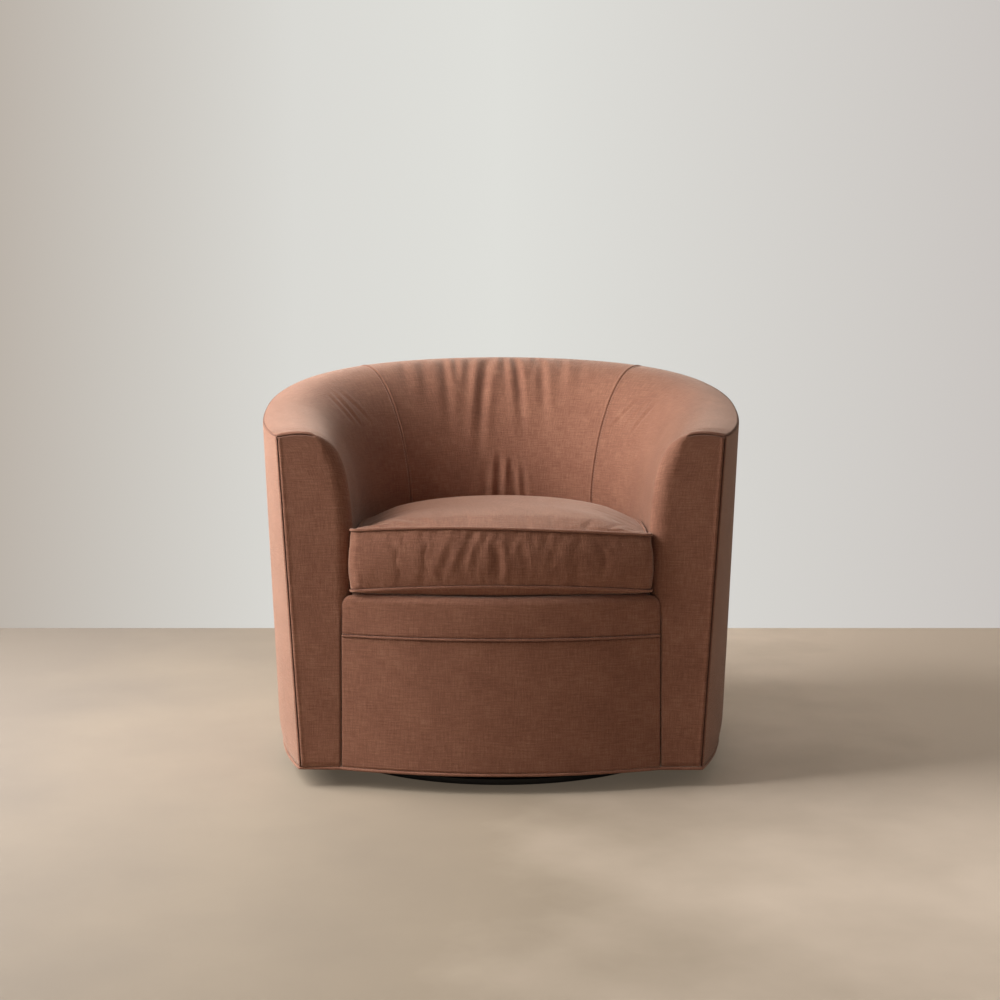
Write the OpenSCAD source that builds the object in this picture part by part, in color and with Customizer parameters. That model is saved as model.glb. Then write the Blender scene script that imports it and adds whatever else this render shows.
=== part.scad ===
// Swivel barrel chair: a round-backed upholstered shell with a loose box cushion,
// on sinuous springs, a plywood rib frame, a ball-race swivel and a low round base.
// Millimetres. The origin is on the floor, on the swivel axis and under the middle
// of the chair. The chair faces -Y, +X is to its right seen from the front, +Z is up.

/* [Shell] */
// Height of the cover's bottom edge above the floor
cover_bottom_z = 36; // [32:1:44]
// Height of the outer top edge where it meets an arm front
arm_edge_z = 606; // [585:1:630]
// Height of the outer top edge at the middle of the back
back_edge_z = 734; // [715:1:760]
// How far the top edge dips behind the arms and lifts before the back
edge_sag = 7; // [0:1:10]
// How far the whole top edge dips between the arm fronts and the back
edge_dip = 5; // [0:1:8]
// How far the outside tucks in round the back at its bottom edge
hem_tuck = 7; // [0:1:8]
// Height over which the outside tucks in
hem_tuck_h = 45; // [30:5:60]
// Thickness of the wall at the round back's sides at the bottom edge
back_wall_low = 147; // [141:1:153]
// Thickness of the wall at the round back's sides at the top edge
back_wall_high = 184.5; // [178:0.5:190]
// Width of an arm front at the bottom edge
arm_wall_low = 90; // [84:1:96]
// Width of an arm front at the top edge
arm_wall_high = 131; // [125:1:137]
// Distance from the centre of the round back forward to the arm fronts
arm_reach = 310; // [290:1:330]
// Centre of the round back, measured from the swivel axis
back_centre_y = -53.25; // [-60:0.25:-45]

/* [Sitting space] */
// Height of the spring deck's top
deck_z = 333; // [328:1:338]
// Height at which the inside starts to lean outwards
seat_z = 450; // [440:1:465]
// Half width between the arm fronts at seat height
seat_half = 258; // [252:1:262]
// How much wider, on each side, the round inside back is than the space between the arm fronts
seat_flare = 14; // [10:1:18]
// Centre of the round inside back, measured from the swivel axis
seat_centre_y = -82; // [-90:1:-74]
// How much wider, on each side, the space between the arm fronts is below the deck
apron_step = 18; // [14:1:22]
// How far the front bows out past the arm fronts
front_bow = 42; // [34:1:48]
// Radius of the soft roll on an arm front's inner edge
arm_roll_r = 28; // [22:1:32]

/* [Covers and padding] */
// Thickness of a cover with its lining
cover_t = 2; // [1.6:0.1:2.4]
// Gap left between a soft piece and its neighbour
soft_gap = 0.3; // [0.3:0.05:0.5]
// Depth of the padding on the inside back and arms
pad_t = 30; // [26:1:33]
// Depth of the padding on an arm front
front_pad_t = 8; // [6:0.5:9]
// Height of the seam under the front band
band_z = 262; // [256:1:268]
// Radius of a covered welt cord
welt_r = 3; // [2.4:0.1:3.4]
// Radius of the front band's upper corners
band_corner_r = 20; // [12:1:24]
// Depth of the band's return over the deck
band_return = 60; // [45:1:75]

/* [Seat cushion] */
// Gap between the cushion and the round inside back
cushion_back_gap = 2.5; // [2:0.1:4]
// Gap between the cushion and the arms at their fronts
cushion_side_gap = 1.5; // [1:0.1:3]
// Height from the deck to the cushion's lower seam at its front corners
cushion_low_h = 7; // [6:1:9]
// Height from the deck to the cushion's upper seam at its front corners
cushion_high_h = 107; // [100:1:110]
// Height from the deck to the top of the crown
cushion_top_h = 142; // [134:1:146]
// Lift of the lower seam at the middle of the front
cushion_low_lift = 12; // [6:1:14]
// Lift of the upper seam at the middle of the front
cushion_high_lift = 10; // [6:1:14]
// Drop of the upper seam along the sides and back
cushion_side_drop = 18; // [10:1:22]
// How far the front corners spread past the sides
corner_flare = 5; // [0:1:6]
// How far the boxing swells between its two seams
boxing_swell = 4; // [2:0.5:5]
// How far the cushion's front stands ahead of the arm fronts at its corners
cushion_lead = 15; // [12:1:18]
// How far the cushion's front bows between its corners
cushion_bow = 23; // [18:1:25]
// Radius of the cushion's front corners
cushion_corner_r = 16; // [12:1:24]

/* [Wooden frame] */
// Thickness of the bottom board
board_t = 15; // [12:1:18]
// Thickness of the plywood ribs, seat ring and top rail
ply_t = 18; // [15:1:21]
// Top of the seat ring above the floor
ring_z = 280; // [276:1:284]
// Radial width of the seat ring
ring_w = 58; // [50:1:62]
// Width of the top rail
rail_w = 56; // [50:1:62]
// Depth from the outer top edge down to the top rail's underside
rail_drop = 65; // [62:1:72]
// Thickness of the fibreboard wraps
wrap_t = 3; // [2:0.5:4]
// Thickness of an arm front board
arm_board_t = 15; // [12:1:18]
// Height of the front rail
front_rail_h = 62; // [50:1:70]
// Thickness of the front rail
front_rail_t = 22; // [18:1:25]

/* [Springs and deck] */
// Number of sinuous seat springs
spring_count = 5; // [3:2:5]
// Distance between neighbouring springs
spring_pitch = 96; // [90:1:98]
// Radius of the spring wire
spring_wire_r = 1.9; // [1.6:0.1:2]
// Overall width of a spring
spring_w = 50; // [44:1:54]
// Radius of a spring's bends, half the distance between its bars
spring_bend_r = 13; // [11:0.5:14]
// Thickness of the felt insulator over the springs
insulator_t = 6; // [4:0.5:8]
// Width of a back webbing strap
strap_w = 50; // [40:1:54]
// Thickness of a back webbing strap
strap_t = 1.2; // [1:0.1:1.4]

/* [Swivel and base] */
// Radius of the base disc
disc_r = 362; // [345:1:370]
// Thickness of the base disc
disc_t = 12; // [10:1:13]
// Height of the glides under the disc
glide_h = 3; // [2:0.5:3.5]
// Radius of a glide
glide_r = 14; // [10:1:18]
// Number of glides
glide_count = 6; // [4:1:8]
// Side of the square swivel plates
plate_side = 300; // [280:1:320]
// Thickness of the pressed swivel plates
plate_t = 2.5; // [2:0.1:3]
// Radius of the ball circle
race_r = 105; // [95:1:112]
// Radius of a swivel ball
ball_r = 5; // [4.5:0.1:5.2]
// Number of swivel balls
ball_count = 36; // [24:2:40]
// Radial clearance between the swivel pin and the upper plate
pin_clearance = 0.05; // [0.03:0.01:0.08]
// Radius of the swivel pin
pin_r = 8; // [6:0.5:9]

/* [Hidden] */

$fn = 64;
// One overrun for every cut
cut = 1;
// Part of the path round the shell, from the back to an arm front, that the round back takes
turn_share = 0.69;
// Path place of the two seams beside the inside back
back_seam_share = 0.33;
// Control shares of the inside section at the back and at an arm front
back_lean_shares = [[0.02, 0.42], [0.45, 1.12]];
arm_lean_shares = [[-0.015, 0.96], [0.045, 1.14]];
// Path place at which the arm's section starts to turn into the back's
lean_turn_share = 0.42;
// Counts of the surface grids
back_cols = 12;
arm_cols = 12;
roll_cols = 3;
face_cols = 3;
wall_rows = 10;
front_cols = 14;
hem_cols = 36;
welt_sides = 6;
// Covers' colours
cloth = "#8c5a47";
cloth_dark = "#7d4e3c";
wood = "#d8b98a";
foam = "#efe3b8";

seat_r = seat_half + seat_flare;
apron_half = seat_half + apron_step;
back_r_low = seat_r + back_wall_low;
back_r_high = seat_r + back_wall_high;
arm_half_low = seat_half + arm_wall_low;
arm_half_high = seat_half + arm_wall_high;
arm_y = back_centre_y - arm_reach;
back_y = back_centre_y + back_r_high;
// Radius of the bowed front
bow_r = (apron_half * apron_half + front_bow * front_bow) / (2 * front_bow);
bow_centre_y = arm_y - front_bow + bow_r;
board_z = cover_bottom_z + cover_t;
board_top_z = board_z + board_t;
ring_low_z = ring_z - ply_t;
// Depths from a cover's face to the wrap behind it and to the wood behind that
wrap_in = cover_t + soft_gap;
wood_gap = 1.2;
wood_in = wrap_in + wrap_t + wood_gap;
// Depth from the inside cover's face to the ribs
rib_in = cover_t + pad_t + strap_t + 2 * soft_gap;
// Depth from the inside cover's face to the seat ring
ring_in = cover_t + soft_gap;
arm_board_in = cover_t + soft_gap + front_pad_t + soft_gap;
// Gap left at a sewn edge, and how far the outside's top corner drops at an arm front
seam_clear = 0.1;
corner_drop = 4;
edge_tilt = atan((back_edge_z - arm_edge_z) / (back_y - arm_y));

// Disc and glides
disc_chamfer = 2;
disc_top_z = glide_h + disc_t;
glide_ring_share = 0.86;
// Swivel plates, races and balls
swivel_h = board_z - disc_top_z;
race_gap = swivel_h - 2 * plate_t;
groove_clearance = 0.04;
ball_z = disc_top_z + swivel_h / 2;
race_w = 9;
// Half the gap between the two races, in which the ball cage runs
race_split = 1.5;
cage_t = 1.6;
plate_corner_r = 18;
plate_hole_r = 4.3;
plate_hole_share = 0.42;
plate_hole_circle = plate_side * plate_hole_share * sqrt(2);
lightening_r = 24;
hub_r = 20;
// Pin and nut
pin_stand = 9;
pin_top_z = board_z + pin_stand;
pin_chamfer = 1;
nut_h = 6.5;
nut_r = 15;
washer_h = 1.6;
// Screws in the disc and bolts in the bottom board
screw_r = 2.5;
screw_head_r = 6;
screw_head_h = 3;
screw_depth = 9;
bolt_r = 4;
bolt_head_r = 7;
bolt_head_h = 5;
bolt_grip = 12;
// Openings in the bottom board
board_port_r = 70;
board_port_share = 0.62;
pin_port_r = 30;
dust_t = 0.5;
dust_hole_r = 220;
// Ribs, rail and wraps
rib_shares = [-0.54, -0.27, 0, 0.27, 0.54];
side_rib_share = 0.84;
rib_curve_steps = 8;
// Half a rib's thickness with an allowance for the wall's slant across it
rib_half = 0.8 * ply_t;
rib_curve_share = 0.62;
rail_out = 16;
wrap_top_drop = 24;
// Heights of the outside's rows
wall_shares = [0, 0.03, 0.07, 0.4, 0.7, 1];
// Springs and their clips
clip_t = 1.5;
clip_w = 16;
clip_d = 20;
clip_gap = 0.1;
// Bends are bent to steps of this size
bend_step = 0.05;
spring_z = ring_z + clip_t + clip_gap + spring_wire_r;
spring_bar = spring_w - 2 * spring_bend_r - 2 * spring_wire_r;
spring_front_y = arm_y - front_bow + ring_w - clip_d / 2;
strap_shares = [0.26, 0.76];
// Deck layers
insulator_z = spring_z + spring_wire_r + clip_t + clip_gap + soft_gap;
// The inside has its full width below this height, just above the inside covers' lower edges
hem_h = 1;
under_z = insulator_z + hem_h;
// How much the round inside back widens below the deck
under_flare = 6;
// Gap between the deck layers and the inside covers' facets
deck_gap = 0.8;
deck_pad_z = insulator_z + insulator_t + soft_gap;
deck_cover_z = deck_z - cover_t;
// Radius of the band's front edge, and the height of its middle row
nose_r = 14;
band_row_share = 0.6;
// How far the band's corner is turned in at its top
corner_drop_share = 0.96;
band_welt_r = 2.4;
// Front roll of an arm: shares of its radius at the top seam and under the deck
top_roll_share = 0.2;
low_roll_share = 0.15;
roll_end_share = 0.62;
// Least share of the top radius that an inner skin of the roll keeps
least_roll_share = 1 / 3;
seam_gap_share = 0.001;
// How soon an arm front's outer seam rises along its rows
face_rise_share = 0.8;
// Step along a section for its direction
tangent_share = 0.02;
// Heights of the lower rows of the inside covers, from their own lowest row up
lower_rows = [under_z, (under_z + deck_z) / 2, deck_z, seat_z];
// Cushion
cushion_back_cols = 14;
cushion_side_cols = 3;
cushion_corner_cols = 3;
cushion_front_cols = 8;
cushion_front_y = arm_y - cushion_lead;
cushion_half = seat_half - cushion_side_gap;
cushion_bow_r = (pow(cushion_half - cushion_corner_r, 2) + pow(cushion_bow, 2)) / (2 * cushion_bow);
cushion_mid_y = (seat_centre_y + cushion_front_y) / 2 + cushion_corner_r;
cushion_low_z = deck_z + soft_gap;
cushion_seam_low_z = deck_z + cushion_low_h;
cushion_seam_high_z = deck_z + cushion_high_h;
// Depth in from the outline at which the panels start, and the boxing's distance from its seams
panel_in = welt_r * 1.5 + 5 * seam_clear;
boxing_in = welt_r + seam_clear;
crown_shares = [0, 0.08, 0.2, 0.4, 0.65, 0.9];
boxing_shares = [0, 0.25, 0.5, 0.75, 1];
bottom_shares = [0.9, 0.3, 0.06];
crown_power = 2.75;
// Length over which the upper seam drops behind the front corners
side_drop_len = 60;
// Path of the side's last column before a front corner
side_end_gap = 22;
corner_turn = 70;
zip_t = 0.6;
zip_gap = 0.2;
zip_half_h = 7;

function lerp(a, b, t) = a + (b - a) * t;
function clamp01(t) = min(1, max(0, t));
// A smooth step from 0 to 1 with level ends
function ease(t) = clamp01(t) * clamp01(t) * (3 - 2 * clamp01(t));
function bezier(a, b, c, d, t) =
  a * pow(1 - t, 3) + 3 * b * t * pow(1 - t, 2) + 3 * c * t * t * (1 - t) + d * pow(t, 3);

// Outside radius of the back, and outside half width at the arm fronts, at a height
function back_r(z) =
  lerp(back_r_low, back_r_high, (z - cover_bottom_z) / (back_edge_z - cover_bottom_z))
  - hem_tuck * pow(1 - clamp01((z - cover_bottom_z) / hem_tuck_h), 2);
function arm_half(z) =
  lerp(arm_half_low, arm_half_high, (z - cover_bottom_z) / (arm_edge_z - cover_bottom_z));
// Radius of the flatter side arc that joins a round back to an arm front
function side_r(r, half, reach) = (pow(r - half, 2) + reach * reach) / (2 * (r - half));
// Point of a barrel plan: a runs from -1 at the left arm front through 0 at the back to 1
function plan_pt(r, half, centre_y, reach, a) =
  let(side = a < 0 ? -1 : 1, m = abs(a))
  m <= turn_share
    ? [side * r * sin(90 * m / turn_share), centre_y + r * cos(90 * m / turn_share)]
    : let(sr = side_r(r, half, reach), y = reach * (m - turn_share) / (1 - turn_share))
      [side * (r - sr + sqrt(sr * sr - y * y)), centre_y - y];
// Point of the outside at a height, a depth in from the cover's face
function outside_pt(a, z, depth) =
  let(p = plan_pt(back_r(z) - depth, arm_half(z) - depth, back_centre_y, arm_reach, a)) [p[0], p[1], z];
// Height of the outer top edge at a place front to back
function edge_z(y) =
  let(t = (y - arm_y) / (back_y - arm_y))
  lerp(arm_edge_z, back_edge_z, t) - edge_sag * sin(360 * t) - edge_dip * sin(180 * t);
function edge_y(a) = plan_pt(back_r_high, arm_half_high, back_centre_y, arm_reach, a)[1];
function edge_pt(a, depth) = outside_pt(a, edge_z(edge_y(a)) - depth, depth);
// The inside widens a little below the deck, where the front band and apron are
function under(z) = ease((deck_z - z) / (deck_z - under_z));
function inside_plan_pt(a, z, depth) =
  let(p = plan_pt(seat_r + under_flare * under(z) + depth,
      lerp(seat_half, apron_half, under(z)) + depth, seat_centre_y, seat_centre_y - arm_y, a))
  [p[0], p[1], z];
// Shares of the section's control points at a path place
function lean(a) = let(t = ease((abs(a) - lean_turn_share) / (1 - lean_turn_share)))
  lerp(back_lean_shares, arm_lean_shares, t);
// Point of the inside section: v runs from 0 at seat height over the top to 1 at the outer edge
function section_pt(a, v, depth) =
  let(low = inside_plan_pt(a, seat_z, depth), high = edge_pt(a, depth), s = lean(a),
    h = bezier(0, s[0][0], s[1][0], 1, v), u = bezier(0, s[0][1], s[1][1], 1, v))
  [lerp(low[0], high[0], h), lerp(low[1], high[1], h), lerp(low[2], high[2], u)];
// Inside point of row k: the lowest row is at low_z, then come the lower rows, then the section
last_lower = len(lower_rows);
function row_z(k, low_z) = k == 0 ? low_z : lower_rows[k - 1];
function row_v(k) = max(0, k - last_lower) / wall_rows;
function inside_pt(a, k, depth, low_z) =
  k < last_lower ? inside_plan_pt(a, row_z(k, low_z), depth) : section_pt(a, row_v(k), depth);

// Triangles of the four corners of one cell
function cell(a, b, c, d) = [[a, b, c], [a, c, d]];
// Faces of a grid of rows and columns of points, whose first point has number base
function grid_faces(rows, cols, base, wrap, flip) =
  [for (r = [0 : rows - 2]) for (c = [0 : wrap ? cols - 1 : cols - 2])
    let(d = (c + 1) % cols, p = base + r * cols + c, q = base + r * cols + d,
      s = base + (r + 1) * cols + d, t = base + (r + 1) * cols + c)
    each flip ? cell(p, t, s, q) : cell(p, q, s, t)];
function flat(rows) = [for (row = rows) each row];

// Triangles that close a ring of points to one point
function fan_faces(at, cols, mid, flip) = [for (c = [0 : cols - 1]) let(d = (c + 1) % cols)
  flip ? [mid, at + d, at + c] : [mid, at + c, at + d]];

// Closed solid between two grids of points that have the same rows and columns.
// The first grid is the face seen from outside with its rows running up and its
// columns running to the right. The first row (fan -1) or the last row (fan 1) of
// both grids may be closed to one point.
module between(face, rear, wrap = false, fan = 0) {
  rows = len(face);
  cols = len(face[0]);
  n = rows * cols;
  last = (rows - 1) * cols;
  ends = wrap ? cols - 1 : cols - 2;
  row = fan > 0 ? rows - 1 : 0;
  polyhedron(
    points = concat(flat(face), flat(rear), fan == 0 ? [] : [mean(face[row]), mean(rear[row])]),
    faces = concat(
      fan == 0 ? [] : fan_faces(row * cols, cols, 2 * n, fan > 0),
      fan == 0 ? [] : fan_faces(n + row * cols, cols, 2 * n + 1, fan < 0),
      grid_faces(rows, cols, 0, wrap, true),
      grid_faces(rows, cols, n, wrap, false),
      fan < 0 ? [] : [for (c = [0 : ends]) let(d = (c + 1) % cols) each cell(c, d, n + d, n + c)],
      fan > 0 ? [] : [for (c = [0 : ends]) let(p = last + c, q = last + (c + 1) % cols)
        each cell(q, p, n + p, n + q)],
      wrap ? [] : [for (r = [0 : rows - 2]) let(p = r * cols, q = p + cols) each cell(q, p, n + p, n + q)],
      wrap ? [] : [for (r = [0 : rows - 2]) let(p = r * cols + cols - 1, q = p + cols)
        each cell(p, q, n + q, n + p)]));
}

// Closed solid of rings of points, closed by a fan at each end
module stack(rings) {
  rows = len(rings);
  cols = len(rings[0]);
  n = rows * cols;
  polyhedron(
    points = concat(flat(rings), [mean(rings[0]), mean(rings[rows - 1])]),
    faces = concat(
      grid_faces(rows, cols, 0, true, true),
      fan_faces(0, cols, n, false),
      fan_faces((rows - 1) * cols, cols, n + 1, true)));
}
function mean(ring) = [for (i = [0 : 2]) total([for (p = ring) p[i]]) / len(ring)];
function total(v, i = 0) = i >= len(v) ? 0 : v[i] + total(v, i + 1);

// Round cord along points; a closed path joins its last point to its first
module cord(path, r, closed = false) {
  n = len(path);
  rings = [for (i = [0 : n - 1])
    let(p = path[closed ? (i + n - 1) % n : max(i - 1, 0)],
      q = path[closed ? (i + 1) % n : min(i + 1, n - 1)],
      t = (q - p) / norm(q - p), side = cross(t, [0, 0, 1]) / norm(cross(t, [0, 0, 1])),
      up = cross(side, t))
    [for (s = [0 : welt_sides - 1]) let(w = 360 * s / welt_sides)
      path[i] + r * (cos(w) * side + sin(w) * up)]];
  if (closed) {
    faces = grid_faces(n + 1, welt_sides, 0, true, true);
    polyhedron(points = flat(rings), faces = [for (f = faces) [for (k = f) k % (n * welt_sides)]]);
  } else {
    stack(rings);
  }
}

// Flat outline of a barrel plan with a straight front at the arm fronts
module plan_2d(r, half, centre_y, front_y) {
  reach = centre_y - front_y;
  sr = side_r(r, half, reach);
  intersection() {
    translate([0, centre_y]) circle(r, $fn = 180);
    translate([-r, centre_y]) square([2 * r, r]);
  }
  intersection() {
    translate([r - sr, centre_y]) circle(sr, $fn = 360);
    translate([sr - r, centre_y]) circle(sr, $fn = 360);
    translate([-r, front_y]) square([2 * r, reach]);
  }
}
// Flat shape of the bowed front, from the arm fronts' plane forward, set in by depth
module bow_2d(depth, half) {
  intersection() {
    translate([0, bow_centre_y]) circle(bow_r - depth, $fn = 360);
    translate([-half, arm_y - front_bow]) square([2 * half, 2 * front_bow]);
  }
}
// Outline of the whole chair at the bottom, set in from the cover's face
module footprint_2d(depth) {
  plan_2d(back_r_low - hem_tuck - depth, arm_half_low - depth, back_centre_y, arm_y + depth);
  bow_2d(depth, apron_half - depth);
}
// Outline of the sitting space, set out from the inside cover's face below the deck
module well_2d(depth) {
  plan_2d(seat_r + under_flare + depth, apron_half + depth, seat_centre_y, arm_y);
}

// Base
module base_disc() {
  color("#1c1b1b") difference() {
    translate([0, 0, glide_h]) rotate_extrude($fn = 180)
      polygon([[0, 0], [disc_r - disc_chamfer, 0], [disc_r, disc_chamfer], [disc_r, disc_t - disc_chamfer],
        [disc_r - disc_chamfer, disc_t], [0, disc_t]]);
    for (q = [0 : 3]) rotate([0, 0, 90 * q + 45]) translate([plate_hole_circle, 0, disc_top_z - screw_depth])
      cylinder(h = screw_depth + cut, r = screw_r);
  }
}

module base_glides() {
  color("#2a2a2a") for (i = [0 : glide_count - 1]) rotate([0, 0, 360 * (i + 0.5) / glide_count])
    translate([disc_r * glide_ring_share, 0, 0]) cylinder(h = glide_h, r = glide_r);
}

// Swivel: two pressed plates with ball grooves, held together by a pin
module plate_2d() {
  half = plate_side / 2 - plate_corner_r;
  square([plate_side, 2 * half], center = true);
  square([2 * half, plate_side], center = true);
  for (x = [-half, half]) for (y = [-half, half]) translate([x, y]) circle(plate_corner_r);
}
// One plate lying on z 0 with its race facing up
module swivel_plate(bore_r) {
  difference() {
    union() {
      linear_extrude(plate_t) plate_2d();
      translate([0, 0, plate_t]) difference() {
        cylinder(h = race_gap / 2 - race_split, r = race_r + race_w);
        translate([0, 0, -cut]) cylinder(h = race_gap, r = race_r - race_w);
      }
      cylinder(h = plate_t + race_gap / 2 - race_split, r = hub_r);
    }
    translate([0, 0, -cut]) cylinder(h = swivel_h, r = bore_r);
    translate([0, 0, swivel_h / 2]) rotate_extrude($fn = 180)
      translate([race_r, 0]) circle(ball_r + groove_clearance);
    for (q = [0 : 3]) rotate([0, 0, 90 * q + 45])
      translate([plate_hole_circle, 0, -cut]) cylinder(h = plate_t + 2 * cut, r = plate_hole_r);
    for (q = [0 : 3]) rotate([0, 0, 90 * q]) translate([(race_r + hub_r - race_w) / 2, 0, -cut])
      cylinder(h = plate_t + 2 * cut, r = lightening_r);
  }
}

module swivel_lower_plate() {
  color("#4a4c4f") translate([0, 0, disc_top_z]) swivel_plate(pin_r);
}
module swivel_pin() {
  color("#7c7f83") difference() {
    translate([0, 0, disc_top_z]) cylinder(h = pin_top_z - disc_top_z, r = pin_r);
    translate([0, 0, pin_top_z - pin_chamfer]) difference() {
      cylinder(h = pin_chamfer + cut, r = pin_r + cut);
      cylinder(h = pin_chamfer + cut, r1 = pin_r, r2 = pin_r - pin_chamfer - cut);
    }
  }
}
module pin_nut() {
  color("#8d9094") difference() {
    union() {
      translate([0, 0, board_z + soft_gap]) cylinder(h = washer_h, r = nut_r);
      translate([0, 0, board_z + soft_gap + washer_h])
        cylinder(h = nut_h - washer_h, r = nut_r - washer_h, $fn = 6);
    }
    cylinder(h = 2 * pin_top_z, r = pin_r);
  }
}
module swivel_upper_plate() {
  color("#4a4c4f") translate([0, 0, board_z]) mirror([0, 0, 1]) swivel_plate(pin_r + pin_clearance);
}
module ball_cage() {
  color("#b08a3c") translate([0, 0, ball_z - cage_t / 2]) difference() {
    cylinder(h = cage_t, r = race_r + race_w, $fn = 180);
    translate([0, 0, -cut]) cylinder(h = cage_t + 2 * cut, r = race_r - race_w, $fn = 180);
    for (i = [0 : ball_count - 1]) rotate([0, 0, 360 * i / ball_count])
      translate([race_r, 0, -cut]) cylinder(h = cage_t + 2 * cut, r = ball_r + pin_clearance);
  }
}
module swivel_balls() {
  color("#b9bcc0") for (i = [0 : ball_count - 1]) rotate([0, 0, 360 * i / ball_count])
    translate([race_r, 0, ball_z]) sphere(ball_r, $fn = 32);
}
// Places of the plates' four fixing holes, at a height
module corners_at(z) {
  for (q = [0 : 3]) rotate([0, 0, 90 * q + 45]) translate([plate_hole_circle, 0, z]) children();
}
module lower_plate_screws() {
  color("#55585c") corners_at(disc_top_z + plate_t) {
    cylinder(h = screw_head_h, r = screw_head_r);
    translate([0, 0, -plate_t - screw_depth]) cylinder(h = plate_t + screw_depth, r = screw_r);
  }
}
module upper_plate_bolts() {
  color("#55585c") corners_at(board_z - plate_t) {
    translate([0, 0, -bolt_head_h]) cylinder(h = bolt_head_h, r = bolt_head_r, $fn = 6);
    cylinder(h = plate_t + bolt_grip, r = bolt_r);
  }
}

// Wooden frame
module bottom_board() {
  color(wood) translate([0, 0, board_z]) linear_extrude(board_t) difference() {
    footprint_2d(wood_in);
    circle(pin_port_r);
    for (q = [0 : 3]) rotate([0, 0, 90 * q + 45]) translate([plate_hole_circle, 0]) circle(plate_hole_r);
    for (q = [0 : 3]) rotate([0, 0, 90 * q]) translate([0, back_r_low * board_port_share])
      circle(board_port_r);
  }
}
module seat_ring() {
  color(wood) translate([0, 0, ring_low_z]) linear_extrude(ply_t) difference() {
    union() {
      well_2d(ring_in + ring_w);
      bow_2d(wood_in, apron_half - ring_in);
    }
    translate([-back_r_low, arm_y - cut]) square([back_r_low - seat_half, cut + wood_in]);
    translate([seat_half, arm_y - cut]) square([back_r_low - seat_half, cut + wood_in]);
    intersection() {
      well_2d(ring_in);
      translate([-back_r_low, arm_y + ring_w - front_bow]) square([2 * back_r_low, 2 * back_r_low]);
    }
    mirror_x() translate([apron_half - ring_in, arm_y - front_bow])
      square([back_r_low, front_bow + arm_board_in + arm_board_t]);
  }
}
module mirror_x() {
  children();
  mirror([1, 0, 0]) children();
}
module bow_band(depth, t, half, z, h) {
  translate([0, 0, z]) linear_extrude(h) difference() {
    intersection() {
      translate([0, bow_centre_y]) circle(bow_r - depth, $fn = 360);
      translate([-half, arm_y - front_bow]) square([2 * half, 2 * front_bow + depth + t]);
    }
    translate([0, bow_centre_y]) circle(bow_r - depth - t, $fn = 360);
  }
}
module front_rail() {
  color(wood) bow_band(wood_in, front_rail_t, apron_half - ring_in, ring_low_z - front_rail_h, front_rail_h);
}
module front_wrap_board() {
  color("#a98d63") bow_band(wrap_in, wrap_t, apron_half - ring_in,
    cover_bottom_z + welt_r, band_z - cover_bottom_z - 2 * welt_r);
}
// Plane of the top rail: it slopes up from the arm fronts to the back
module above_rail_plane(lift) {
  translate([0, arm_y, arm_edge_z - rail_drop + lift]) rotate([edge_tilt, 0, 0])
    translate([-2 * back_r_high, -back_r_high, 0]) cube([4 * back_r_high, 4 * back_r_high, 2 * back_r_high]);
}
// Outline of the shell at the arms' edge height, set in from the cover's face
module rail_2d(depth) {
  plan_2d(back_r(arm_edge_z) - depth, arm_half(arm_edge_z) - depth, back_centre_y, arm_y + arm_board_in);
}
module top_rail() {
  color(wood) difference() {
    linear_extrude(2 * back_edge_z) difference() {
      rail_2d(rail_out);
      translate([0, -cut]) rail_2d(rail_out + rail_w);
    }
    above_rail_plane(ply_t);
    difference() {
      translate([-back_r_high, -back_r_high, -cut])
        cube([2 * back_r_high, 2 * back_r_high + back_y, 2 * back_edge_z]);
      above_rail_plane(0);
    }
  }
}
// Upright rib that stands across the wall at a path place
module rib(a) {
  low = inside_plan_pt(a, seat_z, 0);
  out = edge_pt(a, 0);
  turn = atan2(out[1] - low[1], out[0] - low[0]);
  // Path places of the rib's two sides
  half_share = (1 - turn_share) * rib_half / arm_reach;
  sides = [a - half_share, a, a + half_share];
  function along(p) = (p[0] - low[0]) * cos(turn) + (p[1] - low[1]) * sin(turn);
  function outer(z) = min([for (b = sides) along(outside_pt(b, z, wood_in + soft_gap))]);
  function inner(v) = max([for (b = sides) along(section_pt(b, v, rib_in + soft_gap))]);
  ring_side = max([for (b = sides) along(inside_plan_pt(b, ring_z, ring_in + ring_w))]);
  ring_out = ring_side + soft_gap + wood_gap / 2;
  color(wood) difference() {
    translate([low[0], low[1], 0]) rotate([0, 0, turn]) rotate([90, 0, 0])
      translate([0, 0, -ply_t / 2]) linear_extrude(ply_t) polygon(concat(
        [[inner(0), board_top_z], [inner(0), ring_low_z], [ring_out, ring_low_z]],
        [[ring_out, ring_z], [inner(0), ring_z]],
        [for (i = [0 : rib_curve_steps]) let(v = rib_curve_share * i / rib_curve_steps)
          [inner(v), section_pt(a, v, rib_in)[2]]],
        [[outer(out[2]), out[2]], [outer(board_top_z), board_top_z]]));
    above_rail_plane(0);
  }
}
module back_rib_1() { rib(rib_shares[0]); }
module back_rib_2() { rib(rib_shares[1]); }
module back_rib_3() { rib(rib_shares[2]); }
module back_rib_4() { rib(rib_shares[3]); }
module back_rib_5() { rib(rib_shares[4]); }
module side_rib_right() { rib(side_rib_share); }
module side_rib_left() { mirror([1, 0, 0]) rib(side_rib_share); }
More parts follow.
